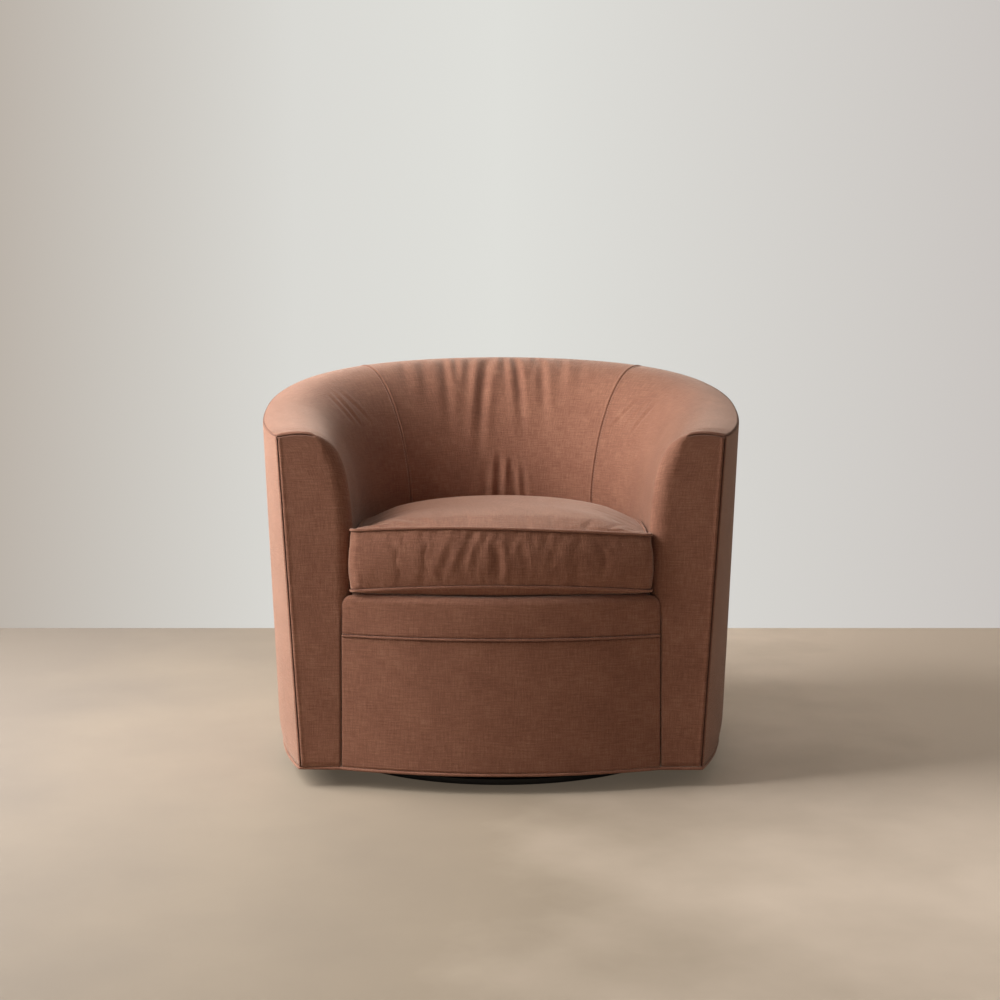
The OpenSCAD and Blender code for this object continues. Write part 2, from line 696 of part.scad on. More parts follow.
module arm_front_board_right() {
  side = wood_in + soft_gap;
  a = 1 - (1 - turn_share) * (arm_board_in + arm_board_t) / (seat_centre_y - arm_y);
  curve = [for (i = [0 : rib_curve_steps])
    section_pt(a, rib_curve_share * i / rib_curve_steps, rib_in + soft_gap)];
  color(wood) difference() {
    translate([0, arm_y + arm_board_in + arm_board_t, 0]) rotate([90, 0, 0]) linear_extrude(arm_board_t)
      polygon(concat([[curve[0][0], board_top_z]], [for (p = curve) [p[0], p[2]]],
        [[arm_half(arm_edge_z) - side, arm_edge_z], [arm_half(board_top_z) - side, board_top_z]]));
    above_rail_plane(0);
  }
}
module arm_front_board_left() { mirror([1, 0, 0]) arm_front_board_right(); }

function steps(from, to, n) = [for (i = [0 : n]) lerp(from, to, i / n)];
// Path places of the outside's columns, right to left: the same as those of the covers inside it
arm_top_share = 1 - (1 - turn_share) * arm_roll_r * top_roll_share / (seat_centre_y - arm_y);
shell_shares = concat([1], steps(arm_top_share, back_seam_share + seam_gap_share, arm_cols),
  steps(back_seam_share, -back_seam_share, back_cols),
  steps(-back_seam_share - seam_gap_share, -arm_top_share, arm_cols), [-1]);
// Covers of the outside, seen from outside with rows running up
module outside_cover() {
  function z(a, v, drop) = min(wall_z(a, v), wall_z(a, 1) - drop - (abs(a) < 1 ? 0 : corner_drop));
  function row(v, depth) = [for (a = shell_shares) outside_pt(a, z(a, v, depth + seam_clear), depth)];
  color(cloth) between([for (v = wall_shares) row(v, 0)], [for (v = wall_shares) row(v, cover_t)]);
}
function wall_z(a, v) = lerp(cover_bottom_z, edge_z(edge_y(a)), v);
module outside_wrap_board() {
  end = 1 - (1 - turn_share) * (wrap_in + wrap_t) / arm_reach;
  cols = concat([end], [for (a = shell_shares) if (abs(a) < end) a], [-end]);
  function z(a, v) = max(cover_bottom_z + welt_r, min(wall_z(a, v), wall_z(a, 1) - wrap_top_drop));
  function row(v, depth) = [for (a = cols) outside_pt(a, z(a, v), depth)];
  color("#a98d63")
    between([for (v = wall_shares) row(v, wrap_in)], [for (v = wall_shares) row(v, wrap_in + wrap_t)]);
}
// Inside back between its two seams
module inside_back(depth_face, depth_rear, low_z, first) {
  cols = steps(-back_seam_share, back_seam_share, back_cols);
  rows = [first : last_lower + wall_rows];
  between(
    [for (k = rows) [for (a = cols) inside_pt(a, k, depth_face, low_z)]],
    [for (k = rows) [for (a = cols) inside_pt(a, k, depth_rear, low_z)]]);
}
module inside_back_cover() { color(cloth) inside_back(0, cover_t, insulator_z, 0); }
module inside_back_pad() {
  near = cover_t + soft_gap;
  color(foam) inside_back(near, near + pad_t, deck_z, last_lower - 1);
}

// An arm's cover runs from the inside-back seam forward, round the soft front roll
// and out over the arm front to the outer seam.
function roll_r(k, z, depth) =
  let(full = k < last_lower ? lerp(arm_roll_r, arm_roll_r * low_roll_share, under(z))
    : lerp(arm_roll_r, arm_roll_r * top_roll_share, ease(row_v(k) / roll_end_share)))
  max(full - depth, arm_roll_r * top_roll_share * least_roll_share);
// Direction in the arm front's plane from its inner edge into the arm
function front_normal(k, depth) =
  let(v = row_v(k),
    p = k <= last_lower ? inside_plan_pt(1, deck_z, depth) : section_pt(1, v - tangent_share, depth),
    q = k <= last_lower ? inside_plan_pt(1, seat_z, depth) : section_pt(1, min(v + tangent_share, 1), depth),
    t = [q[0] - p[0], q[2] - p[2]])
  [t[1], -t[0]] / norm(t);
function arm_pt(c, k, depth, front_depth, low_z, face_low_z) =
  let(zl = c <= arm_cols ? low_z : face_low_z,
    r = roll_r(k, row_z(min(k, last_lower), zl), depth),
    e = inside_pt(1, k, depth, zl),
    n = front_normal(k, depth),
    y = arm_y + front_depth)
  c <= arm_cols
    ? let(a_end = 1 - (1 - turn_share) * (r + front_depth) / (seat_centre_y - arm_y))
      inside_pt(lerp(back_seam_share + seam_gap_share, a_end, c / arm_cols), k, depth, zl)
    : c <= arm_cols + roll_cols
      ? let(w = 90 * (c - arm_cols) / roll_cols)
        [e[0] + r * (1 - cos(w)) * n[0], y + r * (1 - sin(w)), e[2] + r * (1 - cos(w)) * n[1]]
      : let(t = (c - arm_cols - roll_cols) / face_cols,
          rise = pow(row_v(k), face_rise_share),
          zo = k <= last_lower ? e[2] : lerp(seat_z, arm_edge_z - 2 * cover_t - depth, rise),
          xo = arm_half(zo) - cover_t - soft_gap - depth)
        [lerp(e[0] + r * n[0], xo, t), y, lerp(e[2] + r * n[1], zo, t)];
arm_last = arm_cols + roll_cols + face_cols;
module arm_shell(near, front_near, far, front_far, low_z, face_low_z, first) {
  rows = [first : last_lower + wall_rows];
  between(
    [for (k = rows) [for (c = [0 : arm_last]) arm_pt(c, k, near, front_near, low_z, face_low_z)]],
    [for (k = rows) [for (c = [0 : arm_last]) arm_pt(c, k, far, front_far, low_z, face_low_z)]]);
}
module arm_cover_right() {
  color(cloth_dark) arm_shell(0, 0, cover_t, cover_t, insulator_z, cover_bottom_z, 0);
}
module arm_cover_left() { mirror([1, 0, 0]) arm_cover_right(); }
module arm_pad_right() {
  near = cover_t + soft_gap;
  color(foam) arm_shell(near, near, near + pad_t, near + front_pad_t, deck_z, deck_z, last_lower - 1);
}
module arm_pad_left() { mirror([1, 0, 0]) arm_pad_right(); }

// Point on the bowed front at a place across and a depth in
function bow_pt(x, z, depth) = [x, bow_centre_y - sqrt(pow(bow_r - depth, 2) - x * x), z];
module front_apron_cover() {
  half = apron_half - soft_gap;
  function row(z, depth) = [for (x = steps(-half, half, front_cols)) bow_pt(x, z, depth)];
  function side(depth) = [row(cover_bottom_z, depth), row(band_z - band_welt_r, depth)];
  color(cloth) between(side(0), side(cover_t));
}
// The band rises from its welt, rounds over the deck's front edge and runs back
function band_half(z) = let(up = max(0, z - (deck_z - band_corner_r)))
  apron_half - soft_gap - band_corner_r + sqrt(max(0, pow(band_corner_r, 2) - up * up * corner_drop_share));
nose_low_z = deck_z - nose_r;
function band_rows(depth) = concat(
  [for (z = [band_z + band_welt_r, lerp(band_z, nose_low_z, band_row_share), nose_low_z]) [depth, z]],
  [for (i = [1 : 3]) let(w = 30 * i, r = nose_r - depth) [nose_r - r * cos(w), nose_low_z + r * sin(w)]],
  [[band_return, deck_z - depth]]);
function band_row_half(row) = min(band_half(row[1]), row[0] < nose_r / 2 ? apron_half : seat_half - cover_t);
module band_shell(depth_a, depth_b) {
  function side(depth) = [for (row = band_rows(depth))
    [for (t = steps(-1, 1, front_cols)) bow_pt(t * band_row_half(row), row[1], row[0])]];
  between(side(depth_a), side(depth_b));
}
module front_band_cover() { color(cloth) band_shell(0, cover_t); }
module band_welt() {
  half = apron_half - soft_gap;
  path = [for (x = steps(-half, half, front_cols)) bow_pt(x, band_z, -soft_gap)];
  color(cloth_dark) cord(path, band_welt_r);
}
// Closed outline of the bottom edge: round the shell, then back along the bowed front
bottom_path = concat(
  [for (a = steps(1, -1, hem_cols)) outside_pt(a, cover_bottom_z, welt_r / 2)],
  [for (x = steps(-apron_half, apron_half, front_cols)) bow_pt(x, cover_bottom_z, welt_r / 2)]);
module bottom_welt() {
  color(cloth_dark) translate([0, 0, -welt_r - soft_gap]) cord(bottom_path, welt_r, true);
}
module dust_cover() {
  color("#202020") translate([0, 0, board_z - dust_t]) linear_extrude(dust_t) difference() {
    footprint_2d(wood_in + 2 * welt_r);
    circle(dust_hole_r);
  }
}

// Sinuous spring: bars across, joined by half-round bends, from the seat ring's front to its back
module bend(side, r) {
  rotate([0, 0, side > 0 ? -90 : 90]) rotate_extrude(angle = 180, $fn = 32)
    translate([r, 0]) circle(spring_wire_r, $fn = 16);
}
module bar(len) {
  translate([-len / 2, 0, 0]) rotate([0, 90, 0]) cylinder(h = len, r = spring_wire_r, $fn = 16);
}
function spring_x(i) = (i - (spring_count - 1) / 2) * spring_pitch;
// Length over which a spring lies, and its bends: as many as fit near the named bend
function spring_len(x) =
  seat_centre_y + sqrt(pow(seat_r + under_flare + ring_in, 2) - x * x) + clip_d / 2 - spring_front_y;
function spring_bends(x) = round(spring_len(x) / (2 * spring_bend_r));
function spring_r(x) = round(spring_len(x) / (2 * spring_bends(x)) / bend_step) * bend_step;
function spring_back_y(x) = spring_front_y + 2 * spring_bends(x) * spring_r(x);
module seat_spring(i) {
  x = spring_x(i);
  n = spring_bends(x);
  r = spring_r(x);
  color("#8a8d92") translate([x, spring_front_y, spring_z]) {
    for (j = [0 : n]) translate([0, 2 * r * j, 0]) bar(spring_bar);
    for (j = [0 : n - 1]) translate([(j % 2 == 0 ? 1 : -1) * spring_bar / 2, r * (2 * j + 1), 0])
      bend(j % 2 == 0 ? 1 : -1, r);
  }
}
module seat_spring_1() { seat_spring(0); }
module seat_spring_2() { seat_spring(1); }
module seat_spring_3() { seat_spring(2); }
module seat_spring_4() { seat_spring(3); }
module seat_spring_5() { seat_spring(4); }
// Clip nailed to the seat ring, curled over a spring's end bar
module spring_clip() {
  difference() {
    union() {
      translate([-clip_w / 2, -clip_d / 2, 0]) cube([clip_w, clip_d, clip_t]);
      translate([-clip_w / 2, 0, spring_z - ring_z]) rotate([0, 90, 0])
        cylinder(h = clip_w, r = spring_wire_r + clip_gap + clip_t);
    }
    translate([-clip_w / 2 - cut, 0, spring_z - ring_z]) rotate([0, 90, 0])
      cylinder(h = clip_w + 2 * cut, r = spring_wire_r + clip_gap);
    translate([-clip_w, -clip_d, -clip_d]) cube([2 * clip_w, 2 * clip_d, clip_d]);
  }
}
module spring_clips() {
  color("#6d7075") for (i = [0 : spring_count - 1]) for (y = [spring_front_y, spring_back_y(spring_x(i))])
    translate([spring_x(i), y, ring_z]) spring_clip();
}
module back_webbing() {
  color("#3b3a38") for (s = strap_shares)
    translate([0, seat_centre_y, lerp(deck_z, seat_z, s) - strap_w / 2])
      rotate_extrude(angle = 180, $fn = 180)
        translate([seat_r + rib_in - strap_t - soft_gap / 2, 0]) square([strap_t, strap_w]);
}
// Deck layers lie on the springs inside the sitting space
module deck_2d(depth) {
  plan_2d(seat_r - depth, seat_half - depth, seat_centre_y, arm_y);
}
// A deck layer set back from the front edge by a depth
module layer_2d(depth) {
  intersection() {
    deck_2d(deck_gap);
    translate([0, bow_centre_y]) circle(bow_r - depth, $fn = 360);
  }
}
module deck_insulator() {
  color("#77736a") translate([0, 0, insulator_z]) linear_extrude(insulator_t) layer_2d(nose_r + soft_gap);
}
module deck_pad() {
  color(foam) translate([0, 0, deck_pad_z]) linear_extrude(deck_cover_z - soft_gap - deck_pad_z) {
    layer_2d(nose_r + soft_gap);
    bow_2d(nose_r + soft_gap, seat_half - deck_gap);
  }
}
module front_edge_roll() {
  low = ring_z + soft_gap;
  near = cover_t + soft_gap;
  color(foam) bow_band(near, nose_r - near, seat_half, low, nose_low_z - low);
}
module deck_cover() {
  color("#6e4a3b") translate([0, 0, deck_cover_z]) linear_extrude(cover_t) layer_2d(band_return + soft_gap);
}

// Cushion: one closed outline, set in by a depth and drawn towards the middle
function cushion_outline(depth) =
  let(r = seat_r - cushion_back_gap - depth, half = cushion_half - depth,
    corner = cushion_corner_r - depth / 2, front = cushion_front_y + depth, centre = front + corner,
    inner = half + corner_flare - corner)
  concat(
    [for (i = [0 : cushion_back_cols]) let(w = 90 - 180 * i / cushion_back_cols)
      [r * sin(w), seat_centre_y + r * cos(w)]],
    [for (i = [1 : cushion_side_cols]) let(t = i / cushion_side_cols)
      [-lerp(r, half, t * t), lerp(seat_centre_y, centre + side_end_gap, t)]],
    [for (i = [0 : cushion_corner_cols]) let(w = corner_turn * i / cushion_corner_cols)
      [-inner - corner * cos(w), centre - corner * sin(w)]],
    [for (i = [1 : cushion_front_cols - 1])
      let(x = lerp(-inner, inner, i / cushion_front_cols))
      [x, front - (sqrt(cushion_bow_r * cushion_bow_r - x * x) - cushion_bow_r + cushion_bow)]],
    [for (i = [0 : cushion_corner_cols]) let(w = corner_turn * (1 - i / cushion_corner_cols))
      [inner + corner * cos(w), centre - corner * sin(w)]],
    [for (i = [0 : cushion_side_cols - 1]) let(t = 1 - i / cushion_side_cols)
      [lerp(r, half, t * t), lerp(seat_centre_y, centre + side_end_gap, t)]]);
// Heights of the two seams over the outline: both lift at the middle of the front, and the
// upper one drops along the sides and the back
function behind(p) = ease((p[1] - cushion_front_y - cushion_corner_r) / side_drop_len);
function lift(p) = (1 - behind(p)) * (1 - pow(p[0] / cushion_half, 2));
function low_seam(p) = cushion_seam_low_z + cushion_low_lift * lift(p);
function high_seam(p) = cushion_seam_high_z + cushion_high_lift * lift(p) - cushion_side_drop * behind(p);
// One ring of the cushion from a row: depth in from its outline, share drawn to the middle,
// shares of the lower and upper seam's heights, and height added
function cushion_ring(row) = let(edge = cushion_outline(0), line = cushion_outline(row[0]))
  [for (i = [0 : len(edge) - 1]) [lerp(line[i][0], 0, row[1]), lerp(line[i][1], cushion_mid_y, row[1]),
    row[2] * low_seam(edge[i]) + row[3] * high_seam(edge[i]) + row[4]]];
// Rows of the top, from its seam to the middle, lowered by a depth
function crown_rows(depth) = [for (q = crown_shares) let(rest = pow(1 - q, crown_power))
  [panel_in + depth, q, 0, rest, (deck_z + cushion_top_h) * (1 - rest) - depth]];
function boxing_rows(depth) = [for (t = boxing_shares)
  [boxing_swell * (1 - sin(180 * t)) + depth, 0, 1 - t, t, boxing_in * (1 - 2 * t)]];
function bottom_rows(depth) = concat(
  [for (q = bottom_shares) [panel_in + depth, q, 0, 0, cushion_low_z + depth]],
  [[panel_in + depth, 0, 1, 0, depth]]);
module cushion_core() {
  depth = cover_t + soft_gap;
  color(foam) stack(rings(concat(bottom_rows(depth), boxing_rows(depth), crown_rows(depth))));
}
function rings(rows) = [for (row = rows) cushion_ring(row)];
module cushion_top_panel() {
  color(cloth) between(rings(crown_rows(0)), rings(crown_rows(cover_t)), true, 1);
}
module cushion_bottom_panel() {
  color(cloth) between(rings(bottom_rows(0)), rings(bottom_rows(cover_t)), true, -1);
}
module cushion_boxing() {
  color(cloth) between(rings(boxing_rows(0)), rings(boxing_rows(cover_t)), true);
}
module cushion_welt(low_share, high_share) {
  color(cloth_dark) cord(cushion_ring([welt_r / 2, 0, low_share, high_share, 0]), welt_r, true);
}
module cushion_welt_top() { cushion_welt(0, 1); }
module cushion_welt_bottom() { cushion_welt(1, 0); }
// Zip in the middle of the boxing, round the back of the cushion
module cushion_zip() {
  mid = (cushion_seam_low_z + cushion_seam_high_z) / 2;
  function strip(depth) = [for (z = [mid - zip_half_h, mid + zip_half_h])
    [for (i = [2 : cushion_back_cols - 2]) let(p = cushion_outline(depth)[i]) [p[0], p[1], z]]];
  color("#3a3a3a") between(strip(-zip_gap - zip_t), strip(-zip_gap));
}

base_disc();
base_glides();
swivel_lower_plate();
lower_plate_screws();
swivel_pin();
ball_cage();
swivel_balls();
swivel_upper_plate();
upper_plate_bolts();
pin_nut();
bottom_board();
seat_ring();
front_rail();
top_rail();
back_rib_1();
back_rib_2();
back_rib_3();
back_rib_4();
back_rib_5();
side_rib_left();
side_rib_right();
arm_front_board_left();
arm_front_board_right();
outside_wrap_board();
front_wrap_board();
back_webbing();
seat_spring_1();
seat_spring_2();
seat_spring_3();
seat_spring_4();
seat_spring_5();
spring_clips();
deck_insulator();
deck_pad();
deck_cover();
front_edge_roll();
inside_back_pad();
arm_pad_left();
arm_pad_right();
inside_back_cover();
arm_cover_left();
arm_cover_right();
outside_cover();
front_band_cover();
front_apron_cover();
band_welt();
bottom_welt();
dust_cover();
cushion_core();
cushion_top_panel();
cushion_boxing();
cushion_bottom_panel();
cushion_welt_top();
cushion_welt_bottom();
cushion_zip();
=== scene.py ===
import math

import bmesh
import bpy
import numpy as np
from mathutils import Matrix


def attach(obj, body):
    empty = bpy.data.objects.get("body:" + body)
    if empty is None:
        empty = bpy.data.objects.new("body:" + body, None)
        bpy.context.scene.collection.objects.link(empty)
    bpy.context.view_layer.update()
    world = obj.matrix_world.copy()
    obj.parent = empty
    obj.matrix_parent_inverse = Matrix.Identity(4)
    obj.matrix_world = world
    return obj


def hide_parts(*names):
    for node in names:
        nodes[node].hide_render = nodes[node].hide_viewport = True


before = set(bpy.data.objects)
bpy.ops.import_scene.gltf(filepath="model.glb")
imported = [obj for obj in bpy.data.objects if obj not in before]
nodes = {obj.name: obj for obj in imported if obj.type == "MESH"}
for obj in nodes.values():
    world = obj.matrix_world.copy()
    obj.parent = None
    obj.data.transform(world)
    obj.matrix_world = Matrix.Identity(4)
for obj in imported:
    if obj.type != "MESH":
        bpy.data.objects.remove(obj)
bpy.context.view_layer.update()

# Camera. A level view camera 2.5 m in front of the arm fronts, its lens shifted so that the
# horizon stands above the middle of the picture, as in the photograph.
EYE = (0.0, -2.86325, 0.7547)


def placed(name, data):
    """A new object for a mesh, a lamp or a camera, linked to the scene."""
    made = bpy.data.objects.new(name, data)
    bpy.context.scene.collection.objects.link(made)
    return made


view_camera = bpy.data.cameras.new("view_camera")
view_camera.lens = 52.2
view_camera.sensor_width = 36.0
view_camera.shift_x = -0.001
view_camera.shift_y = -0.1504
view_camera.clip_end = 60.0
camera = placed("view_camera", view_camera)
camera.location = EYE
camera.rotation_euler = (math.radians(90), 0, 0)
bpy.context.scene.camera = camera
bpy.context.scene.view_settings.view_transform = "Standard"


# Base disc and glides. The chair stands on a low round board of MDF, routed to a small chamfer
# and lacquered satin black, with six nylon glides pressed under it.
def linear(hex_colour):
    """sRGB hex to linear RGBA: c/12.92 below 0.04045, else ((c+0.055)/1.055) to the power 2.4."""
    c = np.array([int(hex_colour[i : i + 2], 16) / 255 for i in (1, 3, 5)])
    return (*np.where(c <= 0.04045, c / 12.92, ((c + 0.055) / 1.055) ** 2.4), 1.0)


def add(tree, kind, inputs=None, **settings):
    """Adds a node, sets its properties, and fills each named input with a value or a link."""
    node = tree.nodes.new(kind)
    for key, value in settings.items():
        setattr(node, key, value)
    for key, value in (inputs or {}).items():
        if isinstance(value, bpy.types.NodeSocket):
            tree.links.new(value, node.inputs[key])
        else:
            node.inputs[key].default_value = value
    return node


def start(name, **inputs):
    """A new material with a Principled shader whose named inputs are set, with underscores in
    place of spaces."""
    made = bpy.data.materials.new(name)
    made.use_nodes = True
    tree = made.node_tree
    tree.nodes.clear()
    shader = add(tree, "ShaderNodeBsdfPrincipled", {k.replace("_", " "): v for k, v in inputs.items()})
    add(tree, "ShaderNodeOutputMaterial", {"Surface": shader.outputs[0]})
    return made, tree, shader


def tint(tree, fac, stops):
    """A colour ramp over fac with (place, hex) stops."""
    ramp = add(tree, "ShaderNodeValToRGB", {"Fac": fac})
    while len(ramp.color_ramp.elements) < len(stops):
        ramp.color_ramp.elements.new(0.5)
    for element, (place, colour) in zip(ramp.color_ramp.elements, stops):
        element.position = place
        element.color = linear(colour)
    return ramp.outputs[0]


def here(tree):
    """Object coordinates in metres."""
    return add(tree, "ShaderNodeTexCoord").outputs["Object"]


def paint(tree, shader, fac, stops):
    """Links a colour ramp over fac to the shader's base colour."""
    tree.links.new(tint(tree, fac, stops), shader.inputs["Base Color"])


def raise_by(tree, shader, height, distance, strength=1.0):
    """Links a height as a bump of so many metres to the shader's normal."""
    bump = add(tree, "ShaderNodeBump", {"Height": height, "Distance": distance, "Strength": strength})
    tree.links.new(bump.outputs[0], shader.inputs["Normal"])


def noise(tree, at, scale, detail, **other):
    """A noise texture's value over at."""
    drawn = {"Vector": at, "Scale": scale, "Detail": detail, **other}
    return add(tree, "ShaderNodeTexNoise", drawn).outputs[0]


def textured(name, kind, drawn, stops, depth=0.0, way=None, **look):
    """A material with one texture over Object coordinates for its colour and, to a depth, relief."""
    made, tree, shader = start(name, **look)
    direction = {"bands_direction": way} if way else {}
    value = add(tree, f"ShaderNodeTex{kind}", {"Vector": here(tree), **drawn}, **direction).outputs[0]
    paint(tree, shader, value, stops)
    if depth:
        raise_by(tree, shader, value, depth)
    return made


def dress(material, *names):
    """Gives CAD nodes one material."""
    for name in names:
        nodes[name].data.materials.clear()
        nodes[name].data.materials.append(material)


# Satin nitrocellulose lacquer on MDF: a near black that still shows a soft highlight along the
# chamfer, with faint orange peel 3 mm across and dusty patches that are a little rougher.
lacquer, tree, shader = start("satin_black_lacquer", IOR=1.5, Coat_Weight=0.15, Coat_Roughness=0.25)
place = here(tree)
patches = noise(tree, place, 9.0, 4.0)
peel = noise(tree, place, 330.0, 1.0)
paint(tree, shader, patches, [(0.3, "#141312"), (0.75, "#1d1b1a")])
rough = add(tree, "ShaderNodeMapRange", {"Value": patches, "To Min": 0.3, "To Max": 0.46})
tree.links.new(rough.outputs[0], shader.inputs["Roughness"])
raise_by(tree, shader, peel, 0.00004)
dress(lacquer, "base_disc")

# Moulded nylon: dull dark grey, scuffed lighter where it has slid.
scuffed = {"Scale": 160.0, "Detail": 5.0}
stops = [(0.4, "#262524"), (0.8, "#4b4946")]
nylon = textured("moulded_nylon", "Noise", scuffed, stops, 0.0002, Roughness=0.55, IOR=1.53)
dress(nylon, "base_glides")


# Swivel. Two square plates pressed from 2.5 mm steel run on a ring of balls held in a moulded
# cage; a turned pin, riveted into the lower plate, keeps them together with a nut and washer.
def steel(name, dark, light, roughness, brushed):
    """Steel with fine lines along X: noise of 17 mm, drawn finer across the lines by brushed."""
    made, tree, shader = start(name, Metallic=1.0)
    thin = {"Vector": here(tree), "Scale": (1.0, brushed, brushed)}
    grain = noise(tree, add(tree, "ShaderNodeMapping", thin).outputs[0], 60.0, 5.0)
    paint(tree, shader, grain, [(0.35, dark), (0.7, light)])
    span = {"Value": grain, "To Min": roughness, "To Max": roughness + 0.2}
    rough = add(tree, "ShaderNodeMapRange", span)
    tree.links.new(rough.outputs[0], shader.inputs["Roughness"])
    raise_by(tree, shader, grain, 0.00005)
    return made


# Pressed steel with black electrophoretic paint, zinc-plated fasteners, hardened bearing steel.
painted = steel("black_painted_pressed_steel", "#1a1b1c", "#2b2c2e", 0.4, 3.0)
dress(painted, "swivel_lower_plate", "swivel_upper_plate")
plated = steel("zinc_plated_steel", "#8d9094", "#b6b9bc", 0.28, 8.0)
dress(plated, "lower_plate_screws", "upper_plate_bolts", "pin_nut", "spring_clips")
hardened = steel("ground_bearing_steel", "#b4b7ba", "#d2d5d8", 0.12, 20.0)
dress(hardened, "swivel_pin", "swivel_balls")

# Moulded acetal cage: milky, slightly glossy, with faint flow marks.
flow = {"Scale": 25.0, "Detail": 3.0, "Distortion": 1.5}
milky = {"Roughness": 0.35, "Subsurface_Weight": 0.1, "Subsurface_Scale": 0.002}
stops = [(0.3, "#d9d5c8"), (0.7, "#ebe8de")]
dress(textured("moulded_acetal", "Noise", flow, stops, **milky), "ball_cage")


# Frame. Ribs, rails, ring and boards are sawn from birch plywood, glued and stapled; 3 mm
# hardboard is bent round them outside, and the seat's front, as a backing for the cover.
def more(tree, value, share, base):
    """The base plus a share of the value."""
    return add(tree, "ShaderNodeMath", {0: value, 1: share, 2: base}, operation="MULTIPLY_ADD").outputs[0]


def board(name, ring_mm, colours, roughness):
    """Wood: growth bands warped by noise, drawn 2 pi times coarser than ring_mm so that they still
    show, with fine pores along Z."""
    made, tree, shader = start(name, Roughness=roughness)
    drawn_out = {"Vector": here(tree), "Scale": (1.0, 1.0, 0.12)}
    along = add(tree, "ShaderNodeMapping", drawn_out).outputs[0]
    warped = {"Scale": 1000.0 / ring_mm / 20, "Distortion": 6.0, "Detail": 3.0, "Detail Scale": 1.4}
    rings = {"wave_type": "RINGS", "rings_direction": "Z"}
    bands = add(tree, "ShaderNodeTexWave", {"Vector": along, **warped}, **rings).outputs[0]
    pores = noise(tree, along, 900.0, 3.0)
    paint(tree, shader, more(tree, pores, 0.35, bands), colours)
    raise_by(tree, shader, pores, 0.0002)
    return made


birch = board("birch_plywood", 7.0, [(0.1, "#c7a577"), (0.6, "#dcc197"), (1.0, "#e6d0ab")], 0.6)
ribs = [f"back_rib_{i}" for i in range(1, 6)] + ["side_rib_left", "side_rib_right"]
rails = ["bottom_board", "seat_ring", "front_rail", "top_rail"]
dress(birch, *ribs, *rails, "arm_front_board_left", "arm_front_board_right")
hardboard = board("hardboard", 30.0, [(0.1, "#7d5f41"), (1.0, "#94744f")], 0.7)
dress(hardboard, "outside_wrap_board", "front_wrap_board")

# Springs and webbing. Sinuous springs bent from 3.8 mm oil-tempered wire hook into clips on the
# seat ring; two bands of woven polypropylene webbing are stretched across the back ribs.
wire = steel("oil_tempered_wire", "#3f4145", "#5d6065", 0.3, 6.0)
dress(wire, *[f"seat_spring_{i}" for i in range(1, 6)])
# Weft ribs 3 mm apart up the band.
weft = {"Scale": 105.0, "Distortion": 0.6}
stops = [(0.1, "#1f1e1d"), (0.9, "#3d3a37")]
look = {"Roughness": 0.6, "Sheen_Weight": 0.2}
webbing = textured("polypropylene_webbing", "Wave", weft, stops, 0.0004, "Z", **look)
dress(webbing, "back_webbing")

# Deck filling. Needled felt lies on the springs, then a slab of foam, with a foam roll glued
# along the front edge; all of it is hidden by the deck cloth and the front band.
fibres = {"Scale": 420.0, "Detail": 6.0, "Distortion": 2.0}
stops = [(0.3, "#57544e"), (0.5, "#77736a"), (0.75, "#97938a")]
felt = textured("needled_felt", "Noise", fibres, stops, 0.0008, Roughness=0.95, Sheen_Weight=0.3)
dress(felt, "deck_insulator")

# Open-cell polyurethane foam: cream, with cells about 1 mm across.
look = {"Roughness": 0.9, "Subsurface_Weight": 0.1, "Subsurface_Scale": 0.004}
stops = [(0.1, "#cdbf93"), (0.7, "#efe5bf")]
foam = textured("polyurethane_foam", "Voronoi", {"Scale": 900.0}, stops, 0.0005, **look)
dress(foam, "deck_pad", "front_edge_roll")


# Inside back. One panel of the brown linen cloth over foam, pulled down behind the cushion and
# over the top to the outer edge, sewn to the two arm covers and gathered at its middle.
TURN = 0.69  # part of the path round the shell, from the back to an arm front, that is round
SEAM_PLACE = 0.33  # of the seam beside the inside back, on the same path
PATH_M = 0.72  # metres to the whole path near that seam
SHELL_Y, SHELL_REACH = -0.05325, 0.31  # outside: the round part's centre, the flat part's length
SHELL_R = 0.419, 0.4565  # outside radius at the bottom and 698 mm up
SHELL_HALF = 0.348, 0.389  # outside half width at the arm fronts, at the bottom and 570 mm up
SEAT_Y, SEAT_REACH = -0.082, 0.28125  # the same of the inside
SEAT_R, SEAT_HALF = 0.272, 0.258  # inside radius and front half width above the deck
ARM_Y = -0.36325  # arm fronts
SEAT_Z = 0.45  # where the inside begins to lean out
DECK_Z = 0.333
LIP_Z = 0.2873  # where the inside covers end under the deck
COVER_BOTTOM = 0.036
CLOTH_T = 0.0018


def ease(t):
    """Smooth step: 3t^2 - 2t^3 between 0 and 1."""
    t = np.clip(t, 0, 1)
    return t * t * (3 - 2 * t)


def blend(a, b, t):
    """Straight blend a + (b - a) t."""
    return a + (b - a) * t


def plan(r, half, centre_y, reach, a):
    """Barrel plan: a quarter circle of radius r to path place TURN, then a flat arc of radius
    ((r-half)^2 + reach^2) / (2 (r-half)) that brings the half width from r to half."""
    m = np.abs(a)
    w = np.pi / 2 * np.minimum(m, TURN) / TURN
    big = ((r - half) ** 2 + reach**2) / (2 * (r - half))
    y = reach * np.maximum(0, m - TURN) / (1 - TURN)
    x = np.where(m <= TURN, r * np.sin(w), r - big + np.sqrt(big**2 - y**2))
    return np.where(a < 0, -x, x), np.where(m <= TURN, centre_y + r * np.cos(w), centre_y - y)


def arm_half(z):
    """Outside half width at the arm fronts at height z."""
    return blend(*SHELL_HALF, (z - COVER_BOTTOM) / 0.57)


